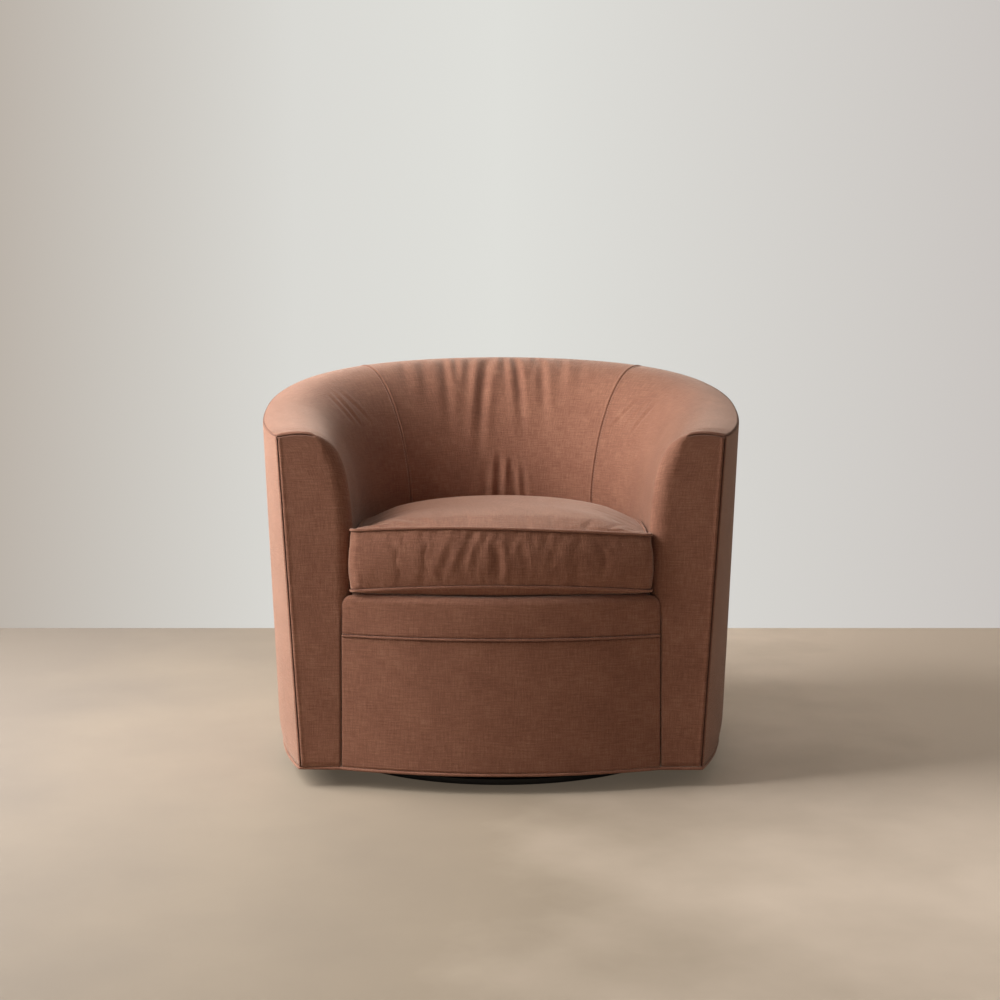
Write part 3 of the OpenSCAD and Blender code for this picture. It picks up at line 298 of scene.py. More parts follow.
def outside(a, z, depth=0.0):
    """Outside of the shell at height z: radius and front half width grow evenly with height, less
    a tuck of 7 mm that dies out as a square over the lowest 45 mm."""
    tuck = 0.007 * (1 - np.clip((z - COVER_BOTTOM) / 0.045, 0, 1)) ** 2
    r = blend(*SHELL_R, (z - COVER_BOTTOM) / 0.698) - tuck - depth
    x, y = plan(r, arm_half(z) - depth, SHELL_Y, SHELL_REACH, a)
    return np.stack(np.broadcast_arrays(x, y, z), -1)


def edge(a):
    """Outer top edge: its height rises evenly from the arm fronts to the back, less a full sine
    wave of 7 mm and half a sine wave of 5 mm."""
    y = plan(SHELL_R[1], SHELL_HALF[1], SHELL_Y, SHELL_REACH, a)[1]
    t = (y - ARM_Y) / 0.7665
    return outside(a, blend(0.606, 0.734, t) - 0.007 * np.sin(2 * np.pi * t) - 0.005 * np.sin(np.pi * t))


def below_deck(z):
    """From 0 at the deck to 1 near the lip under it."""
    return ease((DECK_Z - z) / (DECK_Z - LIP_Z - 0.001))


def inside_plan(a, z):
    """Inside of the shell below seat height, which widens a little under the deck."""
    under = below_deck(z)
    x, y = plan(SEAT_R + 0.006 * under, blend(SEAT_HALF, 0.276, under), SEAT_Y, SEAT_REACH, a)
    return np.stack(np.broadcast_arrays(x, y, z), -1)


def section(a, v):
    """Inside section: a cubic curve from seat height to the outer edge, whose four shares of
    width and height change from the back's to the arm's along the path."""
    t = ease((np.abs(a) - 0.42) / 0.58)
    low, high = inside_plan(a, SEAT_Z), edge(a)
    b1, b2, b3 = 3 * v * (1 - v) ** 2, 3 * v * v * (1 - v), v**3
    h = b1 * blend(0.02, 0.06, t) + b2 * blend(0.45, 0.21, t) + b3
    u = b1 * blend(0.42, 0.78, t) + b2 * blend(1.12, 1.16, t) + b3
    return blend(low, high, np.stack(np.broadcast_arrays(h, h, u), -1))


def inside(a, z, v):
    """Inside of the shell: the section, moved by the plan's change below seat height."""
    return section(a, v) + inside_plan(a, z) - inside_plan(a, np.full_like(z, SEAT_Z))


def unit(vectors):
    """Each row's vector over its length."""
    return vectors / np.linalg.norm(vectors, axis=-1, keepdims=True)


def running(path):
    """Running length at each point of a path, from 0."""
    return np.concatenate([[0], np.cumsum(np.linalg.norm(np.diff(path, axis=0), axis=-1))])


def normals(points):
    """Unit normals of a grid: columns' direction crossed with the rows', by differences."""
    n = np.cross(np.gradient(points, axis=1), np.gradient(points, axis=0))
    return n / np.maximum(np.linalg.norm(n, axis=-1, keepdims=True), 1e-12)


def lengths(points):
    """Cloth coordinates of a grid in metres: running length across on the middle row, and up on
    each column."""
    up = np.linalg.norm(np.diff(points, axis=0), axis=-1)
    u = np.broadcast_to(running(points[len(points) // 2]), points.shape[:2])
    return np.stack([u, np.concatenate([np.zeros((1, points.shape[1])), np.cumsum(up, axis=0)])], -1)


def raised(points, relief):
    """The grid moved along its normals by the relief."""
    return points + relief[..., None] * normals(points)


def hill(x, width):
    """A bell of the given half width: exp(-(x / width)^2)."""
    return np.exp(-((x / width) ** 2))


def spread(n, power):
    """n places from -1 to 1 that crowd towards both ends: sign(t) (1 - (1 - |t|)^power)."""
    t = np.linspace(-1, 1, n)
    return np.sign(t) * (1 - (1 - np.abs(t)) ** power)


def cloth_object(name, points, material, uv=None, thickness=CLOTH_T, fold_shade=0.0):
    """A grid of points, rows up and columns left to right seen from outside, as a cloth skin of
    some thickness. Its coordinates in metres are stored as the UV map Cloth, and the depth of
    painted shade at each point down in a seam or a crease, from 0 to 1, as a point attribute."""
    rows, cols = points.shape[:2]
    uv = lengths(points) if uv is None else uv
    k = np.arange(rows * cols).reshape(rows, cols)
    quads = np.stack([k[:-1, :-1], k[:-1, 1:], k[1:, 1:], k[1:, :-1]], -1).reshape(-1, 4)
    mesh = bpy.data.meshes.new(name)
    mesh.from_pydata(points.reshape(-1, 3).tolist(), [], quads.tolist())
    mesh.uv_layers.new(name="Cloth").data.foreach_set("uv", uv.reshape(-1, 2)[quads.ravel()].ravel())
    depth = np.ascontiguousarray(np.broadcast_to(np.clip(fold_shade, 0, 1), (rows, cols)), float)
    mesh.attributes.new("fold_shade", "FLOAT", "POINT").data.foreach_set("value", depth.ravel())
    mesh.shade_smooth()
    mesh.materials.append(material)
    made = placed(name, mesh)
    if thickness:
        skin = made.modifiers.new("thickness", "SOLIDIFY")
        skin.thickness = thickness
        skin.offset = -1.0
    return made


def linen(name, dark, middle, light, weave=1.0):
    """Brushed linen blend, plain woven and piece dyed a rust brown: matt, with a soft nap that
    pales at a glance. Threads run along the UV map Cloth, in metres. A real thread is 0.7 mm
    wide, too fine to show, so the weave is drawn at 2.4 mm with slubs 2 mm by 25 mm."""
    nap_look = {"Sheen_Roughness": 0.45, "Sheen_Tint": linear("#f3dbcc")}
    made, tree, shader = start(name, Roughness=0.8, IOR=1.45, **nap_look)
    at = add(tree, "ShaderNodeUVMap", uv_map="Cloth").outputs[0]
    slub = []
    for scale, seed in (((450.0, 42.0, 1.0), 0.0), ((36.0, 420.0, 1.0), 7.0)):
        drawn = {"Vector": at, "Location": (seed, 0, 0), "Scale": scale}
        long = add(tree, "ShaderNodeMapping", drawn).outputs[0]
        slub.append(noise(tree, long, 1.0, 3.0))
    threads = add(tree, "ShaderNodeMath", {0: slub[0], 1: slub[1]}, operation="ADD").outputs[0]
    nap = noise(tree, at, 420.0, 5.0, Roughness=0.75)
    cloud = noise(tree, at, 16.0, 4.0)
    thread = {"Vector": at, "Scale": 133.0, "Distortion": 2.5, "Detail": 2.0, "Detail Scale": 3.0}
    warp = [add(tree, "ShaderNodeTexWave", thread, bands_direction=d).outputs[0] for d in ("X", "Y")]
    cross = add(tree, "ShaderNodeMath", {0: warp[0], 1: warp[1]}, operation="ADD").outputs[0]
    tone = more(tree, threads, 0.8, nap)
    tone = more(tree, cross, 0.07 * weave, tone)
    tone = more(tree, cloud, 0.5, tone)
    tone = add(tree, "ShaderNodeMapRange", {"Value": tone, "From Min": 1.2, "From Max": 2.0}).outputs[0]
    nappy = tint(tree, tone, [(0.0, dark), (0.5, middle), (1.0, light)])
    # Down in a seam or crease the colour is darkened as painted shade, and the sheen is taken away there
    # so that the painted shade stays dark.
    fold_shade = add(tree, "ShaderNodeAttribute", attribute_name="fold_shade").outputs["Fac"]
    shaded = add(tree, "ShaderNodeMix", {0: fold_shade, 6: nappy, 7: linear("#3b1a0e")}, data_type="RGBA")
    tree.links.new(shaded.outputs[2], shader.inputs["Base Color"])
    pressed = add(tree, "ShaderNodeMapRange", {"Value": fold_shade, "To Min": 0.48, "To Max": 0.0}).outputs[0]
    tree.links.new(pressed, shader.inputs["Sheen Weight"])
    height = more(tree, cross, 0.3 * weave, threads)
    raise_by(tree, shader, more(tree, nap, 1.0, height), 0.0008, 0.6)
    return made


cloth = linen("brushed_linen_brown", "#734531", "#885843", "#a06f57")
# The piping's cloth is the same linen painted lighter, a painted highlight for the lit top of each cord;
# its sewn-in side gets painted shade.
cord_cloth_painted_light = linen("brushed_linen_piping_painted_light", "#7a4c3a", "#8f604c", "#a67560", 0.4)

# Gathers: place on the path, slant, half width, the section's height from and to, and depth.
GATHERS = [
    (-0.258, 0.10, 0.014, 0.50, 0.90, 0.0010),
    (-0.207, 0.09, 0.013, 0.42, 0.90, 0.0015),
    (-0.152, 0.05, 0.012, 0.28, 0.91, 0.0024),
    (-0.116, 0.04, 0.008, 0.55, 0.91, 0.0016),
    (-0.088, 0.08, 0.010, 0.42, 0.92, 0.0016),
    (-0.054, 0.07, 0.013, 0.12, 0.92, 0.0040),
    (-0.018, 0.02, 0.007, 0.62, 0.92, 0.0012),
    (0.010, -0.02, 0.010, 0.45, 0.92, 0.0018),
    (0.050, -0.07, 0.011, 0.22, 0.92, 0.0034),
    (0.081, -0.02, 0.008, 0.58, 0.91, 0.0016),
    (0.112, -0.09, 0.012, 0.30, 0.91, 0.0030),
    (0.160, -0.08, 0.013, 0.42, 0.90, 0.0017),
    (0.210, -0.10, 0.014, 0.50, 0.88, 0.0010),
    (-0.060, 0.05, 0.016, -0.40, 0.20, 0.0012),
    (-0.012, 0.02, 0.013, -0.40, 0.26, 0.0036),
    (0.026, 0.03, 0.008, -0.10, 0.20, 0.0012),
    (0.050, -0.05, 0.012, -0.40, 0.22, 0.0030),
    (0.088, -0.06, 0.012, -0.40, 0.18, 0.0018),
]
ROWS_LOW, ROWS_HIGH = 34, 104  # below and above seat height
UP_TO_SEAT = np.linspace(LIP_Z, SEAT_Z, ROWS_LOW, endpoint=False)
UP_THE_SECTION = 1 - (1 - np.linspace(0, 1, ROWS_HIGH)) ** 1.4
z = np.concatenate([UP_TO_SEAT, np.full(ROWS_HIGH, SEAT_Z)])[:, None]
v = np.concatenate([np.zeros(ROWS_LOW), UP_THE_SECTION])[:, None]
height = v + (z - SEAT_Z) / 0.5
a, z, v = np.broadcast_arrays(SEAM_PLACE * spread(321, 1.5)[None, :], z, v)
points = inside(a, z, v)
relief = np.zeros_like(a)
for centre, slant, width, low, high, depth in GATHERS:
    off = a - centre - slant * (height - (low + high) / 2)
    wide = width * (1.25 - 0.5 * np.clip((height - low) / (high - low), 0, 1))
    reach = ease((height - low) / (0.55 * (high - low))) * ease((high - height) / (0.2 * (high - low)))
    lips = 0.6 * hill(off - 1.9 * wide, wide) + 0.45 * hill(off + 2 * wide, wide)
    relief -= depth * reach * (hill(off, wide) - lips)
# Painted shade down in the gathers, darker where they are deeper.
fold_shade = 0.22 * np.clip(-relief / 0.005, 0, 1)
# The seam beside each arm: a ridge and a groove, with painted shade along the seam.
seam = (SEAM_PLACE - np.abs(a)) * PATH_M
relief += 0.0010 * hill(seam - 0.0032, 0.0020) - 0.0008 * hill(seam, 0.0010)
fold_shade += 0.5 * hill(seam, 0.0010)
# The seam along the outer top edge: a groove, with painted shade along it.
relief -= 0.0026 * hill(1 - v, 0.006)
fold_shade += 0.75 * hill(1 - v, 0.004)
inside_back = cloth_object("inside_back", raised(points, relief), cloth, fold_shade=fold_shade)
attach(inside_back, "chair")
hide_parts("inside_back_cover", "inside_back_pad")


# Arms. Each cover is one piece of cloth over foam, from the seam beside the inside back forward,
# round the soft front edge and over the arm front to its outer seam; a short dart closes it on top.
def arm_grid():
    """Right arm: inside columns to path place a_end, a roll of radius r turned through 90 degrees
    about the front edge, then straight lines to the outer seam. Rows: face only, below the seat's
    height, and above it; the rows of the face only are tucked in by up to 18 mm inside."""
    n_skirt, n_in, n_roll, n_face = 24, 150, 16, 36
    z_in = np.concatenate([np.full(n_skirt, LIP_Z), UP_TO_SEAT, np.full(ROWS_HIGH, SEAT_Z)])
    z_out = z_in.copy()
    z_out[:n_skirt] = np.linspace(COVER_BOTTOM, LIP_Z, n_skirt, endpoint=False)
    v = np.concatenate([np.zeros(n_skirt + ROWS_LOW), UP_THE_SECTION])
    tuck = np.zeros(len(v))
    tuck[:n_skirt] = np.linspace(0.018, 0, n_skirt, endpoint=False)
    # The roll is soft up to share 0.44 of the section and tightens up to share 0.76.
    roll_r = 0.028
    to_top = blend(roll_r, 0.0045, ease((v - 0.44) / 0.32))
    r = np.where(v > 0, to_top, blend(roll_r, 0.0042, below_deck(z_out)))
    one = np.ones_like(v)
    e = inside(one, z_out, v)
    p, q = section(one, np.maximum(v - 0.02, 0)), section(one, np.minimum(v + 0.02, 1))
    t = np.where((v > 0)[:, None], (q - p)[:, [0, 2]], [0.0, 1.0])
    n = unit(np.stack([t[:, 1], -t[:, 0]], -1))
    a_end = 1 - (1 - TURN) * r / SEAT_REACH
    s = np.linspace(0, 1, n_in)[None, :] ** 1.5
    a = blend(SEAM_PLACE + 0.0003, a_end[:, None], s)
    front = ease((s - 0.9) / 0.1)
    main = inside(a, blend(z_in[:, None], z_out[:, None], front), np.broadcast_to(v[:, None], a.shape))
    side = unit(main[n_skirt : n_skirt + 1, :, :2] - [0.0, SEAT_Y])
    main[..., :2] += side * (tuck[:, None] * (1 - front))[..., None]
    w = np.linspace(0, np.pi / 2, n_roll + 1)[None, 1:]
    out = r[:, None] * (1 - np.cos(w))
    forward = ARM_Y + r[:, None] * (1 - np.sin(w))
    roll = np.stack([e[:, :1] + out * n[:, :1], forward, e[:, 2:] + out * n[:, 1:]], -1)
    corner_z, seam_in = 0.602, 0.0023
    zo = np.where(v > 0, blend(SEAT_Z, corner_z, v**0.8), e[:, 2])
    xo = arm_half(zo) - seam_in
    f = 1 - (1 - np.linspace(0, 1, n_face + 1)[None, 1:]) ** 1.6
    inner = e[:, [0, 2]] + r[:, None] * n
    x, z = blend(inner[:, :1], xo[:, None], f), blend(inner[:, 1:], zo[:, None], f)
    face = np.stack([x, np.full_like(x, ARM_Y), z], -1)
    return np.concatenate([main, roll, face], 1), a, v, n_in, n_roll


def arm_relief(points, a, v, n_in, n_roll):
    """Heights to add, and the depth of painted shade: a groove at each seam, and the dart's groove with
    its lip over the end of the roll, from where the roll turns soft out to the corner; the painted shade
    lies along the seams and the dart's groove."""
    rows, cols = points.shape[:2]
    relief, fold_shade = np.zeros((rows, cols)), np.zeros((rows, cols))
    v = np.broadcast_to(v[:, None], (rows, cols))
    seam = (a - SEAM_PLACE) * PATH_M
    relief[:, :n_in] -= 0.0008 * hill(seam, 0.0010)
    fold_shade[:, :n_in] += 0.5 * hill(seam, 0.0008)
    relief -= 0.0026 * hill(1 - v, 0.006)
    fold_shade += 0.75 * hill(1 - v, 0.004)
    column = np.arange(cols)[None, :]
    dart = ease((v - 0.71) / 0.05)
    relief -= 0.0030 * dart * hill((column - n_in - 0.65 * n_roll) / 3.5, 1.0)
    relief += 0.0016 * dart * hill((column - n_in + 0.1 * n_roll) / 3.0, 1.0)
    fold_shade += 0.9 * dart * hill((column - n_in - 0.70 * n_roll) / 3.6, 1.0)
    from_seam = np.linalg.norm(points - points[:, -1:], axis=-1)
    face = column > n_in + n_roll
    height = points[..., 2]
    # The outer seam of the arm front: a groove with painted shade of uneven width along it.
    wide = 0.0013 + 0.0005 * np.sin(31 * height) * np.sin(47 * height + 1)
    relief += (0.0008 * hill(from_seam - 0.005, 0.003) - 0.0024 * hill(from_seam, 0.0020)) * face
    fold_shade += 0.9 * hill(from_seam, wide) * face
    at_corner = hill(1 - v, 0.03) * hill(from_seam, 0.010)
    relief *= 1 - at_corner
    fold_shade *= 1 - 0.4 * at_corner
    return relief, fold_shade


def mirrored(points):
    """The other arm: x changes sign, and the columns run the other way to keep faces outward."""
    return (points * [-1.0, 1.0, 1.0])[:, ::-1]


def creases(points, lines):
    """Drag lines: each a valley 4.4 mm wide with a lip beside it, along a line that bows by 2.2 mm
    between its ends, which are given where the eye sees them on the plane y = 0. They fade towards
    both ends and towards the arm fronts."""
    relief = np.zeros(points.shape[:2])
    scale = EYE[1] / (EYE[1] - points[..., 1])
    seen = np.stack([points[..., 0] * scale, EYE[2] + (points[..., 2] - EYE[2]) * scale], -1)
    for start_at, end_at, depth in lines:
        p, q = np.array(start_at), np.array(end_at)
        d = q - p
        span = np.linalg.norm(d)
        t = ((seen - p) @ d) / span**2
        off = ((seen - p) @ np.array([-d[1], d[0]])) / span
        off = off - 0.0022 * np.sin(np.pi * t)
        fade = ease(t / 0.3) * ease((1 - t) / 0.4) * ease((points[..., 1] + 0.25) / 0.1)
        relief -= depth * fade * (hill(off, 0.0022) - 0.6 * hill(off - 0.0050, 0.0026))
    return relief


right, a_right, v_right, n_in, n_roll = arm_grid()
groove, fold_shade = arm_relief(right, a_right, v_right, n_in, n_roll)
arm_uv = lengths(right)
left = mirrored(right)
# Drag lines: both ends, and depth.
LEFT_LINES = [
    ((-0.350, 0.673), (-0.282, 0.598), 0.0014),
    ((-0.338, 0.676), (-0.268, 0.594), 0.0017),
    ((-0.325, 0.678), (-0.252, 0.606), 0.0014),
]
RIGHT_LINES = [
    ((0.211, 0.594), (0.278, 0.661), 0.0012),
    ((0.232, 0.588), (0.300, 0.660), 0.0008),
    ((0.251, 0.582), (0.314, 0.657), 0.0012),
]
left_drag, right_drag = creases(left, LEFT_LINES), creases(right, RIGHT_LINES)
for side, grid, uv, relief, deep in (
    ("right", right, arm_uv, groove + right_drag, fold_shade),
    ("left", left, arm_uv[:, ::-1] * [-1, 1], groove[:, ::-1] + left_drag, fold_shade[:, ::-1]),
):
    arm = cloth_object(f"arm_{side}", raised(grid, relief), cloth, uv, fold_shade=deep)
    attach(arm, "chair")
    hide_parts(f"arm_cover_{side}", f"arm_pad_{side}")


# Topstitching. A row of 4 mm stitches in matching thread beside each seam of the inside back,
# sewn through the turned seam allowance on the arm's side.
def stitches(name, path, out, length, radius, material):
    """Stitches along a path: each is an 8 by 5 ellipsoid, stretched along the path's direction."""
    n_up, n_round = 5, 8
    u = np.linspace(0, 2 * np.pi, n_round, endpoint=False)
    u, w = np.meshgrid(u, np.linspace(0.12, np.pi - 0.12, n_up))
    ball = np.stack([np.cos(w), np.sin(w) * np.cos(u), np.sin(w) * np.sin(u)], -1).reshape(-1, 3)
    along = unit(np.gradient(path, axis=0))
    side = unit(np.cross(out, along))
    up = np.cross(along, side)
    size = ball * [length / 2, radius, radius]
    axes = np.stack([along, side, up], 1)
    points = path[:, None] + np.einsum("ka,nac->nkc", size, axes)
    k = np.arange(len(ball)).reshape(n_up, n_round)
    ring = np.stack([k[:-1], np.roll(k[:-1], -1, 1), np.roll(k[1:], -1, 1), k[1:]], -1).reshape(-1, 4)
    ends = [k[0, ::-1].tolist(), k[-1].tolist()]
    first = len(ball) * np.arange(len(path))
    faces = (ring[None] + first[:, None, None]).reshape(-1, 4).tolist()
    faces += [[i + int(f) for i in end] for f in first for end in ends]
    mesh = bpy.data.meshes.new(name)
    mesh.from_pydata(points.reshape(-1, 3).tolist(), [], faces)
    mesh.shade_smooth()
    mesh.materials.append(material)
    return placed(name, mesh)


def spaced(path, step):
    """Points of a path at an even step of its running length."""
    run = running(path)
    at = np.arange(step / 2, run[-1], step)
    return np.stack([np.interp(at, run, path[:, i]) for i in range(3)], -1)


# Two plies, 1 mm to a twist.
twist = {"Scale": 300.0, "Distortion": 1.0}
stops = [(0.0, "#8a5f4d"), (1.0, "#b48a75")]
look = {"way": "DIAGONAL", "Roughness": 0.5, "Sheen_Weight": 0.3}
thread = textured("bonded_polyester_thread", "Wave", twist, stops, **look)
for name, side in (("left", -1.0), ("right", 1.0)):
    vs = np.linspace(0.0, 0.93, 240)
    beside = np.full_like(vs, SEAM_PLACE + 0.0062)
    line = inside(beside, np.full_like(vs, SEAT_Z), vs)
    step_on = inside(beside + 0.004, np.full_like(vs, SEAT_Z), vs) - line
    out = -unit(np.cross(np.gradient(line, axis=0), step_on))
    line, out = line * [side, 1, 1], out * [side, 1, 1]
    path = spaced(line, 0.0052)
    at, known = np.linspace(0, 1, len(path)), np.linspace(0, 1, len(out))
    facing = np.stack([np.interp(at, known, out[:, i]) for i in range(3)], -1)
    row = stitches(f"topstitch_{name}", path + 0.0003 * facing, facing, 0.0040, 0.0005, thread)
    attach(row, "chair")

# Outside. One panel of the same cloth wraps from arm front to arm front round the back, over the
# hardboard, turned in at the top edge and the arm fronts and tacked under the bottom board.
a = -spread(401, 1.6)[None, :]
share = 1 - (1 - np.linspace(0, 1, 97)[:, None]) ** 1.6
top = edge(a)[..., 2]
z = blend(COVER_BOTTOM, top, share)
a = np.broadcast_to(a, z.shape)
points = outside(a, z)
relief = -0.0018 * hill(top - z, 0.003) - 0.0016 * hill(1 - np.abs(a), 0.002)
relief += 0.0008 * np.sin(9 * a + 3 * share) * share * (1 - share)
# Painted shade along the seams at the top edge and at the arm fronts.
fold_shade = 0.7 * hill(top - z, 0.0012) + 0.8 * hill(1 - np.abs(a), 0.0010)
outside_cover = cloth_object("outside_cover_cloth", raised(points, relief), cloth, fold_shade=fold_shade)
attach(outside_cover, "chair")
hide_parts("outside_cover")

# Front. A plain apron hangs below the front band; the band is rounded over the seat's front edge
# with foam behind it and runs back under the cushion, and a piped welt is sewn between them.
BOW_R = 0.9278571  # brings the front 42 mm forward over a half width of 276 mm
BOW_Y = ARM_Y - 0.042 + BOW_R
FRONT_HALF = 0.2757
BAND_Z = 0.262
WELT_ROOM = 0.0022  # from the welt's middle to the cloth above and below it


def bowed(x, z, depth):
    """The bowed front: an arc of radius BOW_R less the depth about a centre behind the chair."""
    return np.stack(np.broadcast_arrays(x, BOW_Y - np.sqrt((BOW_R - depth) ** 2 - x**2), z), -1)


x = FRONT_HALF * spread(201, 1.5)[None, :]
z = np.linspace(COVER_BOTTOM, BAND_Z - WELT_ROOM, 61)[:, None]
points = bowed(x, z, 0.0)
relief = -0.0014 * hill(FRONT_HALF - np.abs(x), 0.002) - 0.0008 * hill(BAND_Z - z, 0.004)
relief = relief + 0.0008 * np.sin(11 * x + 1) * np.sin(14 * z)
# Painted shade along the seams at both ends.
fold_shade = 0.75 * hill(FRONT_HALF - np.abs(x), 0.0011)
apron = cloth_object("front_apron", raised(points, relief), cloth, fold_shade=fold_shade)
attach(apron, "chair")
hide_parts("front_apron_cover")

# The band's rows: 30 upright, 15 round the nose, 16 back over the deck.
NOSE_R, CORNER_R = 0.014, 0.021
NOSE_Z = DECK_Z - NOSE_R
upright = np.linspace(BAND_Z + WELT_ROOM, NOSE_Z, 30, endpoint=False)
turn = np.concatenate([np.zeros(30), np.linspace(0, np.pi / 2, 15), np.full(16, np.pi / 2)])
back = np.concatenate([np.zeros(45), np.linspace(0.0, 0.046, 17)[1:]])
depth = NOSE_R * (1 - np.cos(turn)) + back
z = np.concatenate([upright, NOSE_Z + NOSE_R * np.sin(turn[30:45]), np.full(16, DECK_Z)])[:, None]
up = np.maximum(0, z[:, 0] - (DECK_Z - CORNER_R))
half = FRONT_HALF - CORNER_R + np.sqrt(np.maximum(0, CORNER_R**2 - 0.96 * up**2))
half = np.where(depth < NOSE_R / 2, half, np.minimum(half, SEAT_HALF - 0.0008))[:, None]
x = spread(201, 1.5)[None, :] * half
points = bowed(x, z, depth[:, None])
from_end = half - np.abs(x)
relief = -0.0016 * hill(from_end, 0.004) - 0.0010 * hill(z - BAND_Z, 0.005)
relief = relief + 0.0009 * np.sin(17 * x + 2) * np.sin(60 * (z - BAND_Z))
# Painted shade along the seams at both ends, below the deck.
fold_shade = 0.75 * hill(from_end, 0.0011) * (z < DECK_Z - 0.002)
band = cloth_object("front_band", raised(points, relief), cloth, fold_shade=fold_shade)
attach(band, "chair")
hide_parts("front_band_cover")


def piping(name, path, radius, closed, bulge=0.0, above=0.0, below=0.8):
    """A covered cord: a ring of 12 points carried along the path, squared to its direction, with
    a slow unevenness of the cord; an open cord is closed by a smaller ring at each end. Where it
    is sewn in, below and above, it carries painted shade by the given shares."""
    wrapped = np.roll(path, -1, 0) - np.roll(path, 1, 0)
    along = unit(wrapped if closed else np.gradient(path, axis=0))
    side = unit(np.cross(along, [0, 0, 1.0]))
    up = np.cross(side, along)
    run = running(path)
    r = radius + bulge * np.sin(run * 61) * np.sin(run * 23 + 1)
    if not closed:
        r[[0, -1]] = radius * 0.2
    w = np.linspace(0, 2 * np.pi, 13)
    c, h = np.cos(w)[None, :, None], np.sin(w)[None, :, None]
    tube = path[:, None] + r[:, None, None] * (c * side[:, None] + h * up[:, None])
    uv = np.stack(np.broadcast_arrays(run[:, None], w[None] * radius), -1)
    if closed:
        tube = np.concatenate([tube, tube[:1]])
        uv = np.concatenate([uv, uv[-1:] + [run[-1] - run[-2], 0]])
    fold_shade = below * ease((-np.sin(w) - 0.45) / 0.4) + above * ease((np.sin(w) - 0.45) / 0.4)
    made = cloth_object(name, tube, cord_cloth_painted_light, uv, 0, fold_shade[None])
    rim = bmesh.new()
    rim.from_mesh(made.data)
    bmesh.ops.remove_doubles(rim, verts=rim.verts, dist=1e-6)
    bmesh.ops.holes_fill(rim, edges=rim.edges, sides=16)
    bmesh.ops.recalc_face_normals(rim, faces=rim.faces)
    rim.to_mesh(made.data)
    rim.free()
    made.data.shade_smooth()
    return made


x = np.linspace(-0.2755, 0.2755, 241)
path = bowed(x, np.full_like(x, BAND_Z), -0.0003)
band_piping = piping("band_piping", path, 0.0024, False, 0.0001, 0.6, 0.7)
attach(band_piping, "chair")
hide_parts("band_welt")
a = np.linspace(1, -1, 481)
x = np.linspace(-0.276, 0.276, 241)
HEM_IN, HEM_Z = 0.0015, 0.0327
hem_back = outside(a, np.full_like(a, COVER_BOTTOM), HEM_IN)[:-1]
hem_front = bowed(x, np.full_like(x, COVER_BOTTOM), HEM_IN)[:-1]
hem = np.concatenate([hem_back, hem_front, hem_back[:1]])
hem[:, 2] = HEM_Z
bottom_piping = piping("bottom_piping", spaced(hem, 0.004), 0.003, True, 0.0001)
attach(bottom_piping, "chair")
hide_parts("bottom_welt")

# Deck and dust cloths. A plain brown lining cloth covers the deck under the cushion, and a black
# spunbonded cloth is stapled under the bottom board round the swivel.
lining = linen("cotton_lining_brown", "#5f4033", "#6e4b3c", "#7d5848", 0.6)
u, w = np.meshgrid(np.linspace(-1, 1, 121), np.linspace(0, 1, 121))
edge_x, edge_y = plan(SEAT_R - 0.0001, SEAT_HALF - 0.0001, SEAT_Y, SEAT_REACH, u)
front_y = BOW_Y - np.sqrt((BOW_R - 0.058) ** 2 - edge_x**2)
start_y = np.minimum(front_y, edge_y)
points = np.stack([edge_x, blend(start_y, np.maximum(edge_y, start_y), w), np.full_like(w, DECK_Z)], -1)
points[..., 2] -= 0.0008 + 0.0006 * (np.sin(23 * points[..., 0]) * np.sin(19 * points[..., 1]) + 1)
deck_cloth = cloth_object("deck_cloth", points, lining, points[..., :2].copy(), 0.001)
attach(deck_cloth, "chair")
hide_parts("deck_cover")
stops = [(0.1, "#0f0f0f"), (0.6, "#262626")]
dots = {"Scale": 500.0}
dress(textured("spunbonded_cloth", "Voronoi", dots, stops, 0.0002, Roughness=0.9), "dust_cover")


# Seat cushion. A boxed cushion with a crowned foam core, in the same cloth: top and bottom panels,
# a boxing strip between two piped welts, and a zip round the back. It lies loose on the deck.
FRONT_Y = ARM_Y - 0.015
MIDDLE_Y = (SEAT_Y + FRONT_Y) / 2 + 0.016
CUSHION_R, CUSHION_HALF = 0.2695, 0.2565
CROWN_Z = 0.470


def seams(x, y):
    """Heights of the two seams over the plan: both lift at the middle of the front, as a parabola
    across; the upper one drops along the sides and back, and the front's right corner sags."""
    behind = ease((y - FRONT_Y - 0.016) / 0.060)
    lift = (1 - behind) * (1 - (x / CUSHION_HALF) ** 2)
    lean = -0.004 * (1 - behind) * np.sin(np.pi / 2 * np.clip(x / 0.25, -1, 1))
    return 0.340 + 0.012 * lift, 0.440 + 0.010 * lift - 0.018 * behind + lean


